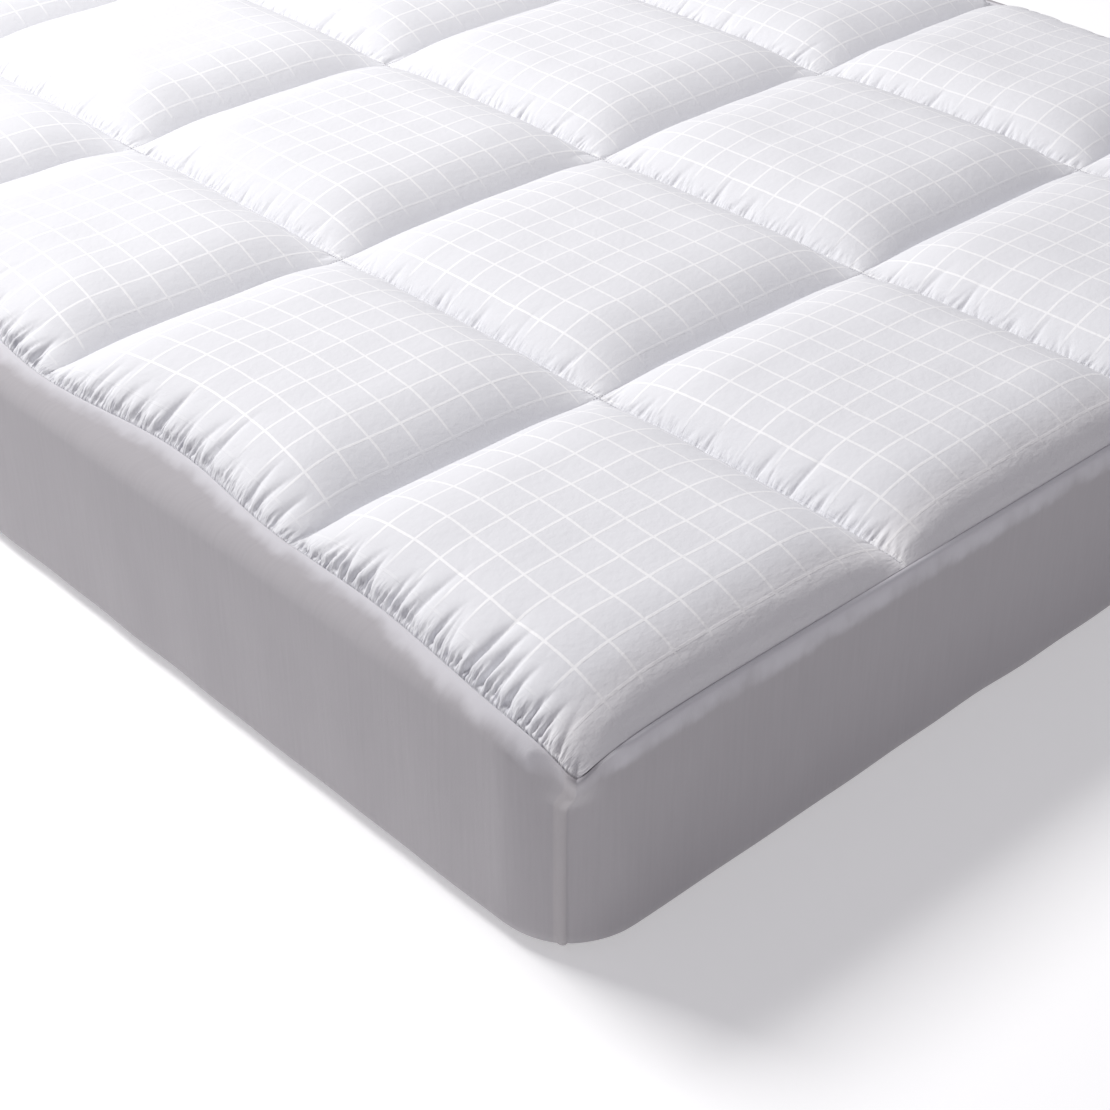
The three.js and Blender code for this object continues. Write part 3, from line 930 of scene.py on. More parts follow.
@dataclass
class QuiltedPanel:
    """The padded top: filled cloth sewn through into puffed boxes."""

    bed: Bed
    cloth: CheckedCotton
    crown: float = 42.0
    slow_rise: float = 2.0
    crown_unevenness: float = 0.05
    uneven_turn: tuple[float, float, float] = (2.3, 1.7, 0.6)
    shoulders: dict = field(default_factory=lambda: {
        Seam.CHANNEL: Shoulder(120.0, 2.6, 1.3),
        Seam.SIDE: Shoulder(120.0, 2.6, 1.3, swing=0.8),
        Seam.END: Shoulder(110.0, 3.0, 1.1, swing=2.0),
    })
    side_swing_fade: float = 60.0
    end_swing_fade: float = 45.0
    shoulder_steps: int = 10
    shoulder_end: float = 30.0
    gather_reach: tuple[float, ...] = (34, 38.5, 43.5, 49, 55, 62, 70, 79, 90)
    medium_reach: tuple[float, ...] = (101, 113)
    coarse_from: float = 126.0
    coarse_pitch: float = 13.0
    edge_thickness: dict = field(default_factory=lambda: {Seam.SIDE: 8.0, Seam.END: 4.0})
    edge_lift: float = 0.8
    under_pitch: float = 20.0
    under_ends: tuple[float, ...] = (0, 5, 13, 26, 39)
    lump_height: float = 1.0
    edge_folds: tuple = (
        Folds(30.0, 50.0, 5.8, 3.6), Folds(11.0, 27.0, 4.2, 2.1), Folds(5.4, 14.0, 2.7, 1.35),
    )
    channel_folds: tuple = (
        Folds(60.0, 38.0, 2.8, 3.4), Folds(11.0, 20.0, 1.6, 1.9), Folds(5.2, 11.0, 1.2, 1.25),
    )
    far_side: float = 0.45
    pinned: float = 2.5
    pinned_end: float = 20.0
    hand_end: float = 345.0
    hand_puckers: tuple = (
        (327, 34, 4.6), (288, 30, 3.8), (253, 40, 4.8), (243, 42, 5.0), (222, 70, 6.6),
        (189, 46, 5.4), (139, 72, 8.0), (121, 64, 7.2), (104, 48, 5.8), (87, 44, 5.2),
        (61, 36, 4.2), (46, 30, 3.4),
    )
    hand_creases: tuple = (
        (329, 30, 2.2), (244, 30, 2.2), (179, 36, 2.8), (138, 56, 4.0), (104, 26, 2.4),
        (74, 22, 2.0), (56, 20, 1.8), (41, 30, 2.8),
    )

    def __post_init__(self) -> None:
        """Places the seams and measures the cloth over the boxes."""
        self.seams_x, self.seams_y = self.bed.seams_x, self.bed.seams_y
        self.lumps = Unevenness(7, 55.0, 190.0)
        self.cloth_x = self.cloth_lengths(self.seams_x, Seam.SIDE)
        self.cloth_y = self.cloth_lengths(self.seams_y, Seam.END)
        strengths = np.full(len(self.seams_x), self.far_side)
        strengths[[0, -1]] = 1.0
        places = np.interp(self.seams_x, *self.cloth_x) * MM
        seams = dict(zip(places.tolist(), strengths.tolist(), strict=True))
        self.material = self.cloth.build(seams, float(self.cloth_y[1][-1]) * MM)

    def rise(self, at: np.ndarray, seams: np.ndarray, outer: Seam) -> tuple:
        """How high the filling stands along one direction.

        Args:
            at: places.
            seams: places of the seams, in order.
            outer: the kind of the first and last seam.

        Returns:
            The share of the crown, the outward swing of the cloth, and the box's number.
        """
        box = np.clip(np.searchsorted(seams, at, side="right") - 1, 0, len(seams) - 2)
        low, high = seams[box], seams[box + 1]
        near_low = at - low <= high - at
        near = np.maximum(np.where(near_low, at - low, high - at), 0)
        at_edge = np.where(near_low, box == 0, box == len(seams) - 2)
        edge, inner = self.shoulders[outer], self.shoulders[Seam.CHANNEL]
        climb = np.where(at_edge, edge.share(near), inner.share(near))
        slow = self.slow_rise * np.sin(math.pi * near / (high - low))
        share = ((self.crown - self.slow_rise) * climb + slow) / self.crown
        return share, np.where(at_edge, edge.bulge(near), 0), box

    def cloth_lengths(self, seams: np.ndarray, outer: Seam) -> tuple[np.ndarray, np.ndarray]:
        """Measures the cloth along a line over the middle of the boxes.

        Args:
            seams: places of the seams that the line crosses.
            outer: the kind of the first and last seam.

        Returns:
            Places on the line in plan, and the distance of each along the cloth.
        """
        at = np.linspace(seams[0], seams[-1], 40001)
        share, swing, _ = self.rise(at, seams, outer)
        out = at + np.sign(at) * swing
        steps = np.hypot(np.diff(out), np.diff(share * self.crown))
        return at, np.concatenate([[0], np.cumsum(steps)])

    def level(self, side: np.ndarray, end: np.ndarray) -> np.ndarray:
        """Height of the seams, which falls towards the edges and the corners.

        Args:
            side: distances in from the side edge.
            end: distances in from the end edge.

        Returns:
            The heights.
        """
        bed = self.bed
        corner = np.exp(-np.hypot(side, end) / bed.corner_drop_reach)
        corner = corner * (bed.corner_drop - bed.end_edge_drop)
        edge = bed.end_edge_drop * np.exp(-end / bed.end_edge_reach)
        side_drop = bed.side_edge_drop * np.exp(-side / bed.end_edge_reach) * (1 - bed.droop(end))
        return bed.channel_top - corner - edge - side_drop

    def surface(self, x: np.ndarray, y: np.ndarray) -> np.ndarray:
        """The cloth's surface, before its puckers.

        Args:
            x: places across, one for each column.
            y: places along, one for each row.

        Returns:
            A point for each row and column.
        """
        bed = self.bed
        rise_x, swing_x, column = self.rise(x, self.seams_x, Seam.SIDE)
        rise_y, swing_y, row = self.rise(y, self.seams_y, Seam.END)
        across, along = np.meshgrid(x, y)
        side = bed.panel_half_width - np.abs(across)
        end = bed.panel_half_length - np.abs(along)
        a, b, c = self.uneven_turn
        puff = rise_x[None, :] * rise_y[:, None]
        uneven = 1 + self.crown_unevenness * np.sin(a * column[None, :] + b * row[:, None] + c)
        height = self.crown * puff * uneven + self.lump_height * puff * self.lumps.at(across, along)
        z = self.level(side, end) + height
        outer_box = self.seams_x[1] - self.seams_x[0]
        fade = 1 - np.clip((side - bed.edge_flat) / (outer_box - bed.edge_flat), 0, 1)
        new_side, new_end = bed.rounded(side, end)
        new_side = new_side - swing_x[None, :] * smooth(end / self.side_swing_fade)
        new_end = new_end - swing_y[:, None] * smooth(side / self.end_swing_fade)
        out_x = bed.panel_half_width - new_side + bed.spread(end) * fade
        out_y = bed.panel_half_length - new_end
        return np.stack([np.sign(across) * out_x, np.sign(along) * out_y, z], axis=-1)

    def row_places(self, density: Density) -> np.ndarray:
        """Places of the rows of points along the bed, nested from one density to the next.

        Args:
            density: how close the rows have to lie.

        Returns:
            The places, from end to end.
        """
        shoulder = self.shoulder_places()
        places = []
        for low, high in zip(self.seams_y[:-1], self.seams_y[1:], strict=True):
            count = int((high - low) / Density.COARSE.value)
            inner = np.linspace(low + self.shoulder_end, high - self.shoulder_end, count)
            places.append(np.concatenate([low + shoulder[:-1], inner, (high - shoulder[:-1])[::-1]]))
        rows = np.unique(np.round(np.concatenate(places), 6))
        for step in [d for d in (Density.MEDIUM, Density.FINE) if d.value >= density.value]:
            parts = np.maximum(np.ceil(np.diff(rows) / step.value - 1e-6).astype(int), 1)
            pieces = [
                np.linspace(a, b, n, endpoint=False)
                for a, b, n in zip(rows[:-1], rows[1:], parts, strict=True)
            ]
            rows = np.append(np.concatenate(pieces), rows[-1])
        return rows

    def shoulder_places(self) -> np.ndarray:
        """Distances from a seam at which the cloth's shoulder has points."""
        return self.shoulder_end * np.linspace(0, 1, self.shoulder_steps + 1) ** 2

    def gathers_of(self, seam: int, after: bool) -> Gathers:
        """The puckers on one side of a seam that runs the long way.

        Args:
            seam: the seam's number, from the near side edge.
            after: whether they lie on the seam's far side.

        Returns:
            The puckers, along the whole seam.
        """
        length = 2 * self.bed.panel_half_length
        seed = 100 + 2 * seam + after
        if seam in (0, self.bed.columns):
            hand = (self.hand_puckers, self.hand_end) if seam == 0 else ((), 0.0)
            return Gathers(seed, length, 1.0, self.edge_folds, *hand)
        hand = (self.hand_creases, self.hand_end) if seam == 1 and after else ((), 0.0)
        return Gathers(seed, length, 1.0 if after else self.far_side, self.channel_folds, *hand)

    def puckered(self, block: np.ndarray, seam_distance: np.ndarray, rows: np.ndarray,
                 gathers: Gathers) -> np.ndarray:
        """Presses the puckers into a block of points, along its own normals.

        Args:
            block: the points, by row and column.
            seam_distance: distance of each column from the seam.
            rows: place of each row along the bed.
            gathers: the puckers.

        Returns:
            The pressed points.
        """
        ahead = np.gradient(block, axis=1)
        along = np.gradient(block, axis=0)
        normal = np.cross(ahead, along)
        normal /= np.linalg.norm(normal, axis=-1, keepdims=True)
        normal *= np.sign(normal[..., 2:] + 1e-9)
        depth = gathers.press(seam_distance, rows + self.bed.panel_half_length)
        end = self.bed.panel_half_length - np.abs(rows)
        ends = smooth((end - self.pinned) / self.pinned_end)
        return block - normal * (depth * ends[:, None])[..., None]

    def blocks(self, column: int) -> list[tuple[Density, np.ndarray]]:
        """The blocks of columns of points across one long row of boxes.

        Args:
            column: the row's number, from the near side.

        Returns:
            For each block: how close its points lie, and the places of its columns.
        """
        low, high = self.seams_x[column], self.seams_x[column + 1]
        near = np.concatenate([self.shoulder_places(), self.gather_reach])
        medium = np.array(self.medium_reach)
        coarse = np.linspace(
            low + self.coarse_from, high - self.coarse_from,
            round((high - low - 2 * self.coarse_from) / self.coarse_pitch) + 1,
        )
        return [
            (Density.FINE, low + near),
            (Density.MEDIUM, low + medium),
            (Density.COARSE, coarse),
            (Density.MEDIUM, (high - medium)[::-1]),
            (Density.FINE, (high - near)[::-1]),
        ]

    def cloth_at(self, x: np.ndarray, y: np.ndarray) -> np.ndarray:
        """Places on the flat cloth of a grid of points."""
        across, along = np.interp(x, *self.cloth_x), np.interp(y, *self.cloth_y)
        return np.stack(np.meshgrid(across, along), axis=-1)

    def build_row(self, column: int) -> bpy.types.Object:
        """Makes one long row of boxes, closed beneath.

        Args:
            column: the row's number, from the near side.

        Returns:
            The piece.
        """
        maker = MeshMaker()
        rows = {density: self.row_places(density) for density in Density}
        blocks = self.blocks(column)
        grids = []
        for k, (density, x) in enumerate(blocks):
            y = rows[density]
            block = self.surface(x, y)
            if k == 0:
                block = self.puckered(block, x - self.seams_x[column], y, self.gathers_of(column, True))
            if k == len(blocks) - 1:
                distance = (self.seams_x[column + 1] - x)[::-1]
                flipped = self.puckered(block[:, ::-1], distance, y, self.gathers_of(column + 1, False))
                block = flipped[:, ::-1]
            grids.append(maker.add_points(block, self.cloth_at(x, y)))
            maker.add_grid(grids[-1])
        for k in range(len(grids) - 1):
            maker.add_zip(grids[k][:, -1], rows[blocks[k][0]], grids[k + 1][:, 0], rows[blocks[k + 1][0]])
        self.close_beneath(maker, column, grids, rows)
        return maker.build(f"quilted_row_{column + 1}", self.material)

    def close_beneath(self, maker: MeshMaker, column: int, grids: list, rows: dict) -> None:
        """Adds the underside and the walls that join it to the cloth above.

        Args:
            maker: where the row's points and faces are collected.
            column: the row's number.
            grids: point numbers of its blocks.
            rows: places of the rows of points for each density.
        """
        bed = self.bed
        low, high = self.seams_x[column], self.seams_x[column + 1]
        x = np.array([low, (low + high) / 2, high])
        near_end = np.array(self.under_ends)
        rest = bed.panel_half_length - bed.edge_flat
        middle = np.linspace(-rest, rest, round(2 * rest / self.under_pitch) + 1)
        y = np.concatenate([
            -bed.panel_half_length + near_end, middle, (bed.panel_half_length - near_end)[::-1],
        ])
        flat = self.surface(x, y)
        side = bed.panel_half_width - np.abs(x)[None, :]
        end = bed.panel_half_length - np.abs(y)[:, None]
        level = self.level(side, end)
        z = np.full_like(level, bed.top + bed.gap) + np.where(end < near_end[-1], self.edge_lift, 0)
        z = np.where((side < 1) & (end < bed.edge_flat - 1), level - self.edge_thickness[Seam.SIDE], z)
        z = np.where(end < 1, level - self.edge_thickness[Seam.END], z)
        flat[..., 2] = z
        under = maker.add_points(flat, self.cloth_at(x, y))
        maker.add_grid(under)
        fine = rows[Density.FINE]
        maker.add_zip(grids[0][:, 0], fine, under[:, 0], y)
        maker.add_zip(grids[-1][:, -1], fine, under[:, -1], y)
        across = np.concatenate([b for _, b in self.blocks(column)])
        for row in (0, -1):
            maker.add_zip(np.concatenate([g[row] for g in grids]), across, under[row], x)

    def build(self) -> list[bpy.types.Object]:
        """Makes the panel's long rows of boxes, which meet in the sewn channels.

        Returns:
            The pieces.
        """
        made = []
        for column in range(self.bed.columns):
            piece = self.build_row(column)
            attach(piece, BODY)
            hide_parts("quilted_panel")
            made.append(piece)
            log.info("%s: %d faces", piece.name, len(piece.data.polygons))
        return made


@dataclass
class ChannelStitches:
    """The thread that shows in the sewn channels, one bead for each stitch."""

    panel: QuiltedPanel
    thread: bpy.types.Material
    pitch: float = 3.8
    length: float = 2.9
    radius: float = 0.42
    lift: float = 0.55
    margin: float = 8.0
    sides: int = 5
    rings: tuple[tuple[float, float], ...] = ((-0.5, 0.35), (-0.32, 1.0), (0.32, 1.0), (0.5, 0.35))

    def runs(self) -> list[tuple[np.ndarray, np.ndarray]]:
        """Lays out the stitches along the channels.

        Returns:
            For each channel: the middles of its stitches, and the way it runs at each.
        """
        panel = self.panel
        half = {True: panel.bed.panel_half_length, False: panel.bed.panel_half_width}
        found = []
        for lengthways, seams in ((True, panel.seams_x), (False, panel.seams_y)):
            along = np.arange(-half[lengthways] + self.margin, half[lengthways] - self.margin, self.pitch)
            for seam in seams[1:-1]:
                x, y = (np.array([seam]), along) if lengthways else (along, np.array([seam]))
                points = panel.surface(x, y).reshape(-1, 3)
                points[:, 2] += self.lift
                found.append((points, np.gradient(points, axis=0)))
        return found

    def build(self) -> bpy.types.Object:
        """Makes all the stitches as one piece.

        Returns:
            The piece.
        """
        maker = MeshMaker()
        turns = np.arange(self.sides) * 2 * math.pi / self.sides
        for points, direction in self.runs():
            direction = direction / np.linalg.norm(direction, axis=1, keepdims=True)
            aside = np.cross(direction, (0, 0, 1.0))
            aside /= np.linalg.norm(aside, axis=1, keepdims=True)
            upward = np.cross(aside, direction)
            ring = [
                points[:, None] + direction[:, None] * (shift * self.length)
                + self.radius * size * (
                    aside[:, None] * np.cos(turns)[:, None] + upward[:, None] * np.sin(turns)[:, None]
                )
                for shift, size in self.rings
            ]
            ids = maker.add_points(np.stack(ring, axis=1), np.zeros(2))
            around = np.concatenate([ids, ids[..., :1]], axis=-1)
            quads = [around[:, :-1, :-1], around[:, :-1, 1:], around[:, 1:, 1:], around[:, 1:, :-1]]
            maker.faces.append(np.stack([q.ravel() for q in quads], axis=1))
            maker.faces.append(ids[:, 0, ::-1])
            maker.faces.append(ids[:, -1])
        made = maker.build("channel_stitches", self.thread)
        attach(made, BODY)
        log.info("%s: %d faces", made.name, len(made.data.polygons))
        return made


@dataclass
class Skirt:
    """The strip of stretch knit from the panel's seam to the hem under the mattress."""

    bed: Bed
    knit: StretchKnit
    thickness: float = 2.0
    clearance: float = 2.0
    top_edge: float = 14.0
    bottom_edge: float = 24.0
    hem_turn: float = 62.0
    smooth_below: float = 150.0
    hug_inset: float = 2.6
    hug_fade: float = 12.0
    draw_from: float = 9.0
    draw_fade: float = 34.0
    fold: float = 0.25
    fold_width: float = 2.6
    lip_drop: float = 0.3
    lip_width: float = 16.0
    cuff: float = 2.4
    cuff_reach: float = 22.0
    cuff_drop: float = 5.5
    cuff_width: float = 1.2
    ridge: float = 1.7
    ridge_half: float = 4.5
    ridge_from: float = 18.0
    ridge_fade: float = 10.0
    crease: float = 0.5
    crease_at: float = 1.4
    crease_width: float = 1.6
    sag: float = 0.9
    sag_fade: float = 60.0
    edge_thickness: float = 4.0
    wall_steps: int = 7
    arc_steps: int = 9
    cut: tuple[float, float] = (6.9, 0.29)
    corner_steps: tuple = ((0, 24, 1.5), (24, 90, 3.0), (90, 200, 5.5))
    middle_pitch: float = 9.0
    fall_steps: tuple = (
        0, 1, 2.2, 3.6, 5.2, 7, 9, 11, 13, 15, 17, 19.5, 22, 25, 28, 31,
        34.5, 38, 41.5, 45, 48.5, 52, 55.5, 59, 63, 68,
    )
    lining_steps: tuple = (0, 5, 10, 15, 22, 31, 36, 40, 44, 48, 52, 56, 61, 66)
    fall_end: float = 6.0

    def __post_init__(self) -> None:
        """Measures the strip and draws its unevenness."""
        bed = self.bed
        quarter = bed.panel_half_width + bed.panel_half_length + 2 * bed.seam_gap
        self.whole = 4 * (quarter + bed.corner_spread)
        self.waves = Unevenness(22, 90.0, 320.0)

    def side_distances(self, length: float) -> np.ndarray:
        """Places the sections along one side of the bed.

        Args:
            length: the side's length.

        Returns:
            Their distances from its first corner.
        """
        near = np.concatenate([np.arange(a, b, step) for a, b, step in self.corner_steps])
        last = self.corner_steps[-1][1]
        middle = np.linspace(last, length - last, round((length - 2 * last) / self.middle_pitch) + 1)
        return np.concatenate([near, middle, (length - near[1:])[::-1]])

    def sections(self) -> dict[str, np.ndarray]:
        """The sections round the bed, from the near corner, anticlockwise from above.

        Returns:
            For each: its point on the wall, the way out of the wall, its point on the seam, the
            seam's depth, its distance from the nearest corner, and its distance round the bed.
        """
        bed = self.bed
        seam_x = bed.panel_half_width + bed.seam_gap
        seam_y = bed.panel_half_length + bed.seam_gap
        corners = [(-1, -1), (1, -1), (1, 1), (-1, 1)]
        parts: dict[str, list] = {k: [] for k in ("wall", "out", "seam", "depth", "nearer", "round")}
        start = 0.0
        for k, (cx, cy) in enumerate(corners):
            nx, ny = corners[(k + 1) % 4]
            along_x = cy == ny
            half = seam_x + bed.corner_spread if along_x else seam_y
            wall_half = bed.half_width if along_x else bed.half_length
            distance = self.side_distances(2 * half)
            nearer = np.minimum(distance, 2 * half - distance)
            first = distance <= half
            sx, sy = np.where(first, cx, nx), np.where(first, cy, ny)
            zero = np.zeros_like(nearer)
            side, end = (nearer, zero) if along_x else (zero, nearer)
            side, end = bed.rounded(side, end)
            if along_x:
                seam = np.stack([sx * (half - side), sy * (seam_y - end)], axis=1)
            else:
                seam = np.stack([sx * (seam_x - side + bed.spread(nearer)), sy * (half - end)], axis=1)
            turn = np.clip(nearer / bed.edge_flat, 0, 1) * QUARTER / 2
            lean = QUARTER / 2 + (turn if along_x else -turn)
            out = np.stack([sx * np.cos(lean), sy * np.sin(lean)], axis=1)
            run = np.maximum(0, (nearer - bed.edge_flat) / (half - bed.edge_flat))
            run = run * (wall_half - bed.corner_radius)
            hub_x = bed.half_width - bed.corner_radius - (run if along_x else 0)
            hub_y = bed.half_length - bed.corner_radius - (0 if along_x else run)
            hub = np.stack([sx * hub_x, sy * hub_y], axis=1)
            depth = bed.edge_depth(nearer, bed.end_edge_drop if along_x else bed.side_edge_drop)
            found = (hub + bed.corner_radius * out, out, seam, depth, nearer, start + distance)
            for name, value in zip(parts, found, strict=True):
                parts[name].append(value)
            start += 2 * half
        joined = {name: np.concatenate(values) for name, values in parts.items()}
        joined = {name: np.concatenate([v, v[:1]]) for name, v in joined.items()}
        joined["round"][-1] = start
        return joined

    def fall(self, wall: np.ndarray, out: np.ndarray, seam: np.ndarray, depth: float,
             steps: tuple) -> tuple[np.ndarray, np.ndarray]:
        """The skirt's inner face down one section, from the seam to where it hangs straight.

        Args:
            wall: the section's point on the wall.
            out: the way out of the wall.
            seam: its point on the seam.
            depth: how far the seam lies below the channels.
            steps: distances from the seam at which a point is wanted.

        Returns:
            The points, and the distance of each from the seam.
        """
        bed = self.bed
        inset = -float(bed.outside(seam[0], seam[1]))
        seat = max(inset, self.hug_inset)
        radius = self.top_edge + self.clearance
        hub = bed.top - self.top_edge
        sink = float(bed.sink(seam[0], seam[1]))
        seam_z = bed.channel_top - depth - self.edge_thickness + bed.seam_gap
        start = math.asin(min(max((self.top_edge - seat) / radius, 0), 1))
        turns = np.linspace(start, QUARTER, 25)
        d = radius * np.sin(turns) - self.top_edge
        z = hub + radius * np.cos(turns)
        if seat > self.top_edge:
            d, z = np.append(-seat, d), np.append(hub + radius, z)
        d, z = np.append(d, self.clearance), np.append(z, self.smooth_below)
        lengths = np.concatenate([[0], np.cumsum(np.hypot(np.diff(d), np.diff(z)))])
        total = lengths[-1]
        at = np.append(np.array(steps) * min(1.0, (total - self.fall_end) / steps[-1]), total)
        d, z = np.interp(at, lengths, d), np.interp(at, lengths, z)
        z = z - sink * (z - self.smooth_below) / (bed.top - self.smooth_below)
        back = np.where(d < 0, d / seat, 0)[:, None]
        hugging = wall - (seam - wall) * back + out * np.maximum(d, 0)[:, None]
        free = min(max((self.hug_inset - inset) / self.hug_fade, 0), 1)
        hanging_z = seam_z + (self.smooth_below - seam_z) * at / total
        draw = smooth((seam_z - hanging_z - self.draw_from) / self.draw_fade)[:, None]
        hanging = seam * (1 - draw) + (wall + out * self.clearance) * draw
        plan = hugging * (1 - free) + hanging * free
        return np.column_stack([plan, z * (1 - free) + hanging_z * free]), at

    def profile(self, wall: np.ndarray, out: np.ndarray, seam: np.ndarray, depth: float,
                steps: tuple) -> tuple[np.ndarray, np.ndarray]:
        """The skirt's inner face down one section, from the seam to the hem.

        Args:
            wall: the section's point on the wall.
            out: the way out of the wall.
            seam: its point on the seam.
            depth: how far the seam lies below the channels.
            steps: distances from the seam at which a point is wanted.

        Returns:
            The points, and the distance of each from the seam.
        """
        bed = self.bed
        path, at = self.fall(wall, out, seam, depth, steps)
        arc_out = self.bottom_edge + self.clearance
        arc_top = bed.bottom + self.bottom_edge
        arc_up = arc_top - self.thickness
        heights = np.linspace(self.smooth_below, arc_top, self.wall_steps + 1)[1:-1]
        turns = np.linspace(0, QUARTER, self.arc_steps + 1)
        d = np.concatenate([
            np.full(len(heights), self.clearance),
            arc_out * np.cos(turns) - self.bottom_edge,
            [-0.6 * self.hem_turn - 0.4 * self.bottom_edge, -self.hem_turn],
        ])
        z = np.concatenate([
            heights, self.thickness + arc_up * (1 - np.sin(turns)), [self.thickness, self.thickness],
        ])
        lower = np.column_stack([wall + out * d[:, None], z])
        points = np.concatenate([path, lower])
        steps_down = np.linalg.norm(np.diff(points[len(path) - 1:], axis=0), axis=1)
        return points, np.concatenate([at, at[-1] + np.cumsum(steps_down)])

    def outer_face(self, inner: np.ndarray, length: np.ndarray, out: np.ndarray, depth: float,
                   nearer: float, place: float) -> np.ndarray:
        """The outer face of one section, a knit's thickness from the inner one.

        Args:
            inner: the section's inner face.
            length: distances from the seam.
            out: the way out of the wall.
            depth: how far the seam lies below the channels.
            nearer: distance from the nearest corner.
            place: distance round the bed.

        Returns:
            The points of the outer face.
        """
        tangent = np.gradient(inner, axis=0)
        around = np.array([-out[1], out[0], 0.0])
        normal = -np.cross(around, tangent)
        normal /= np.linalg.norm(normal, axis=1, keepdims=True)
        width = self.lip_width
        folded = self.fold + (self.thickness - self.fold) * smooth(length / self.fold_width)
        start = inner[0, 2] + normal[0, 2] * self.fold
        seam_top = self.bed.channel_top - depth - self.lip_drop
        lip = (seam_top - start) * (1 - smooth(length / width))
        corner = math.exp(-((nearer / self.cuff_reach) ** 2))
        below_cuff = (length - self.cuff_drop) / (self.cuff_width * self.cuff_drop)
        cuff = self.cuff * corner * np.exp(-(below_cuff ** 2))
        flat = (inner[:, 2] > self.thickness + 0.5) & (length > 2 * width)
        wave = self.waves.at(np.full_like(length, place), 0.5 * length)
        sag = self.sag * wave * smooth((length - 2 * width) / self.sag_fade) * flat
        grown = folded + cuff + sag + self.upright_seam(place, length)
        outer = inner + normal * grown[:, None]
        outer[:, 2] += lip
        outer[:, 2] = np.maximum(outer[:, 2], 0.0)
        outer[-3:, 2] = 0.0
        outer[-3:, :2] = inner[-3:, :2]
        return outer

    def upright_seam(self, place: float, length: np.ndarray) -> np.ndarray:
        """How far the upright seam at the near corner stands out.

        Args:
            place: distance round the bed.
            length: distances from the panel's seam.

        Returns:
            The heights of its ridge, less the crease beside it.
        """
        aside = place if place < self.whole / 2 else place - self.whole
        ridge = math.exp(-(((aside + self.ridge_half) / self.ridge_half) ** 4)) * self.ridge
        crease = math.exp(-(((aside - self.crease_at) / self.crease_width) ** 2)) * self.crease
        return (ridge - crease) * smooth((length - self.ridge_from) / self.ridge_fade)

    def build(self) -> bpy.types.Object:
        """Makes the skirt as one thin closed sheet.

        Returns:
            The piece.
        """
        found = self.sections()
        maker = MeshMaker()
        loops, cloth = [], []
        for k in range(len(found["depth"])):
            args = (found["wall"][k], found["out"][k], found["seam"][k], float(found["depth"][k]))
            nearer, place = float(found["nearer"][k]), float(found["round"][k])
            inner, length = self.profile(*args, self.fall_steps)
            outer = self.outer_face(inner, length, args[1], args[3], nearer, place)
            lining, lining_length = self.profile(*args, self.lining_steps)
            loops.append(np.concatenate([outer, lining[::-1], outer[:1]]))
            lengths = np.concatenate([length, lining_length[::-1], length[:1]])
            cloth.append(np.stack([np.full_like(lengths, place), lengths], axis=1))
        maker.add_grid(maker.add_points(np.stack(loops), np.stack(cloth)))
        made = maker.build("knit_skirt", self.knit.build(self.whole * MM), weld=True)
        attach(made, BODY)
        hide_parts("skirt")
        log.info("%s: %d faces", made.name, len(made.data.polygons))
        return made


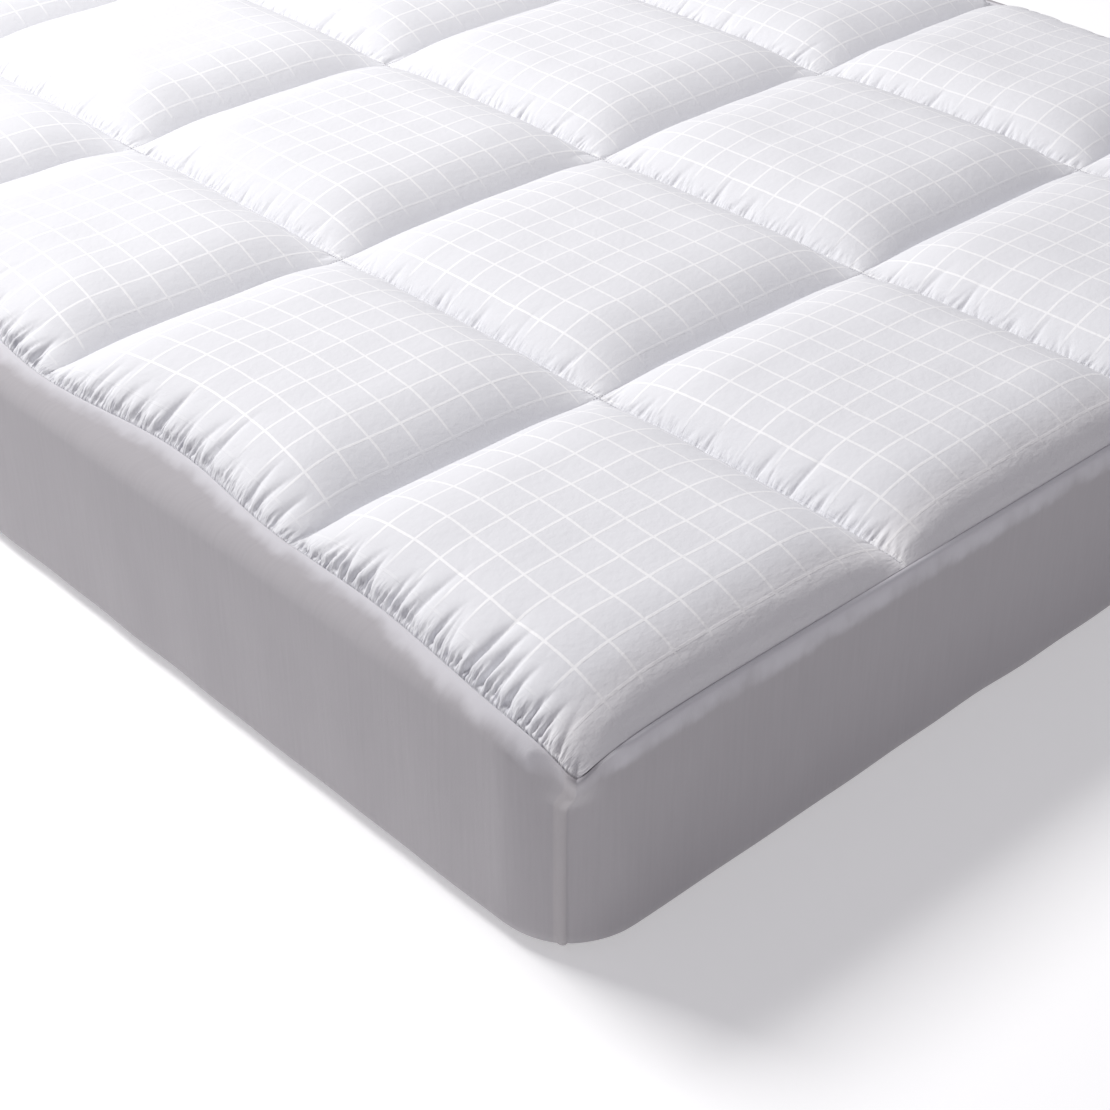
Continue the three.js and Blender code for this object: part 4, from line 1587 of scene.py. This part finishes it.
@dataclass
class Studio:
    """The floor, the light and the camera."""

    floor: bpy.types.Material
    camera_at: Point = (-1659.5, -1916.9, 1286.7)
    pitch: float = 0.600330
    yaw: float = 0.824172
    focal_pixels: float = 2145.65
    photo_pixels: int = 1110
    sensor: float = 36.0
    floor_half: float = 9.0
    key_target: Point = (-0.3, -0.4, 0.2)
    key_distance: float = 4.6
    key_height: float = math.radians(53)
    key_turn: float = math.radians(72)
    key_size: float = 1.7
    key_power: float = 197.0
    key_colour: Colour = (1.0, 0.995, 0.985)
    sky_strength: float = 0.30
    sky_colour: Colour = (0.95, 0.915, 1.0)

    def build_camera(self) -> None:
        """Puts the camera where the photograph was taken from."""
        data = bpy.data.cameras.new("camera")
        data.sensor_width = self.sensor
        data.sensor_fit = "HORIZONTAL"
        data.lens = self.focal_pixels / self.photo_pixels * self.sensor
        data.clip_end = 100.0
        camera = bpy.data.objects.new("camera", data)
        bpy.context.scene.collection.objects.link(camera)
        ahead = Vector((
            math.cos(self.yaw) * math.cos(self.pitch),
            math.sin(self.yaw) * math.cos(self.pitch),
            -math.sin(self.pitch),
        ))
        right = Vector((math.sin(self.yaw), -math.cos(self.yaw), 0.0))
        up = right.cross(ahead)
        turn = Matrix((right, up, -ahead)).transposed()
        camera.matrix_world = Matrix.Translation(Vector(self.camera_at) * MM) @ turn.to_4x4()
        bpy.context.scene.camera = camera

    def build_floor(self) -> None:
        """Lays the floor."""
        h = self.floor_half
        mesh = bpy.data.meshes.new("floor")
        mesh.from_pydata([(-h, -h, 0), (h, -h, 0), (h, h, 0), (-h, h, 0)], [], [(0, 1, 2, 3)])
        mesh.materials.append(self.floor)
        floor = bpy.data.objects.new("floor", mesh)
        bpy.context.scene.collection.objects.link(floor)

    def add_light(self, name: str, at: Vector, target: Vector, size: float, power: float,
                  colour: Colour) -> None:
        """Adds a square soft light.

        Args:
            name: the light's name.
            at: where it is, in metres.
            target: what it points at.
            size: its width, in metres.
            power: its power, in watts.
            colour: its colour.
        """
        data = bpy.data.lights.new(name, "AREA")
        data.shape = "SQUARE"
        data.size = size
        data.energy = power
        data.color = colour
        light = bpy.data.objects.new(name, data)
        light.location = at
        light.rotation_euler = (target - at).to_track_quat("-Z", "Y").to_euler()
        bpy.context.scene.collection.objects.link(light)

    def build(self) -> None:
        """Makes the whole studio."""
        self.build_camera()
        self.build_floor()
        target = Vector(self.key_target)
        level = math.cos(self.key_height) * self.key_distance
        at = target + Vector((
            -level * math.cos(self.key_turn),
            level * math.sin(self.key_turn),
            self.key_distance * math.sin(self.key_height),
        ))
        self.add_light("key", at, target, self.key_size, self.key_power, self.key_colour)
        world = bpy.data.worlds.new("studio")
        world.use_nodes = True
        background = world.node_tree.nodes["Background"]
        background.inputs["Color"].default_value = (*self.sky_colour, 1.0)
        background.inputs["Strength"].default_value = self.sky_strength
        bpy.context.scene.world = world
        bpy.context.scene.view_settings.view_transform = "Standard"


def dress_mattress(ticking: bpy.types.Material) -> None:
    """Gives the carried-over mattress its finish.

    Args:
        ticking: the finish.
    """
    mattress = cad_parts["mattress"]
    mattress.data.materials.clear()
    mattress.data.materials.append(ticking)
    log.info("mattress: %d faces", len(mattress.data.polygons))


def main() -> None:
    """Builds the protector, the mattress's finish and the studio, in order."""
    logging.basicConfig(level=logging.INFO, format="%(message)s")
    bed = Bed()
    Studio(PaleFloor().build()).build()
    panel = QuiltedPanel(bed, CheckedCotton())
    panel.build()
    ChannelStitches(panel, SewingThread().build()).build()
    Skirt(bed, StretchKnit()).build()
    dress_mattress(MattressTicking().build())


if __name__ == "__main__":
    main()
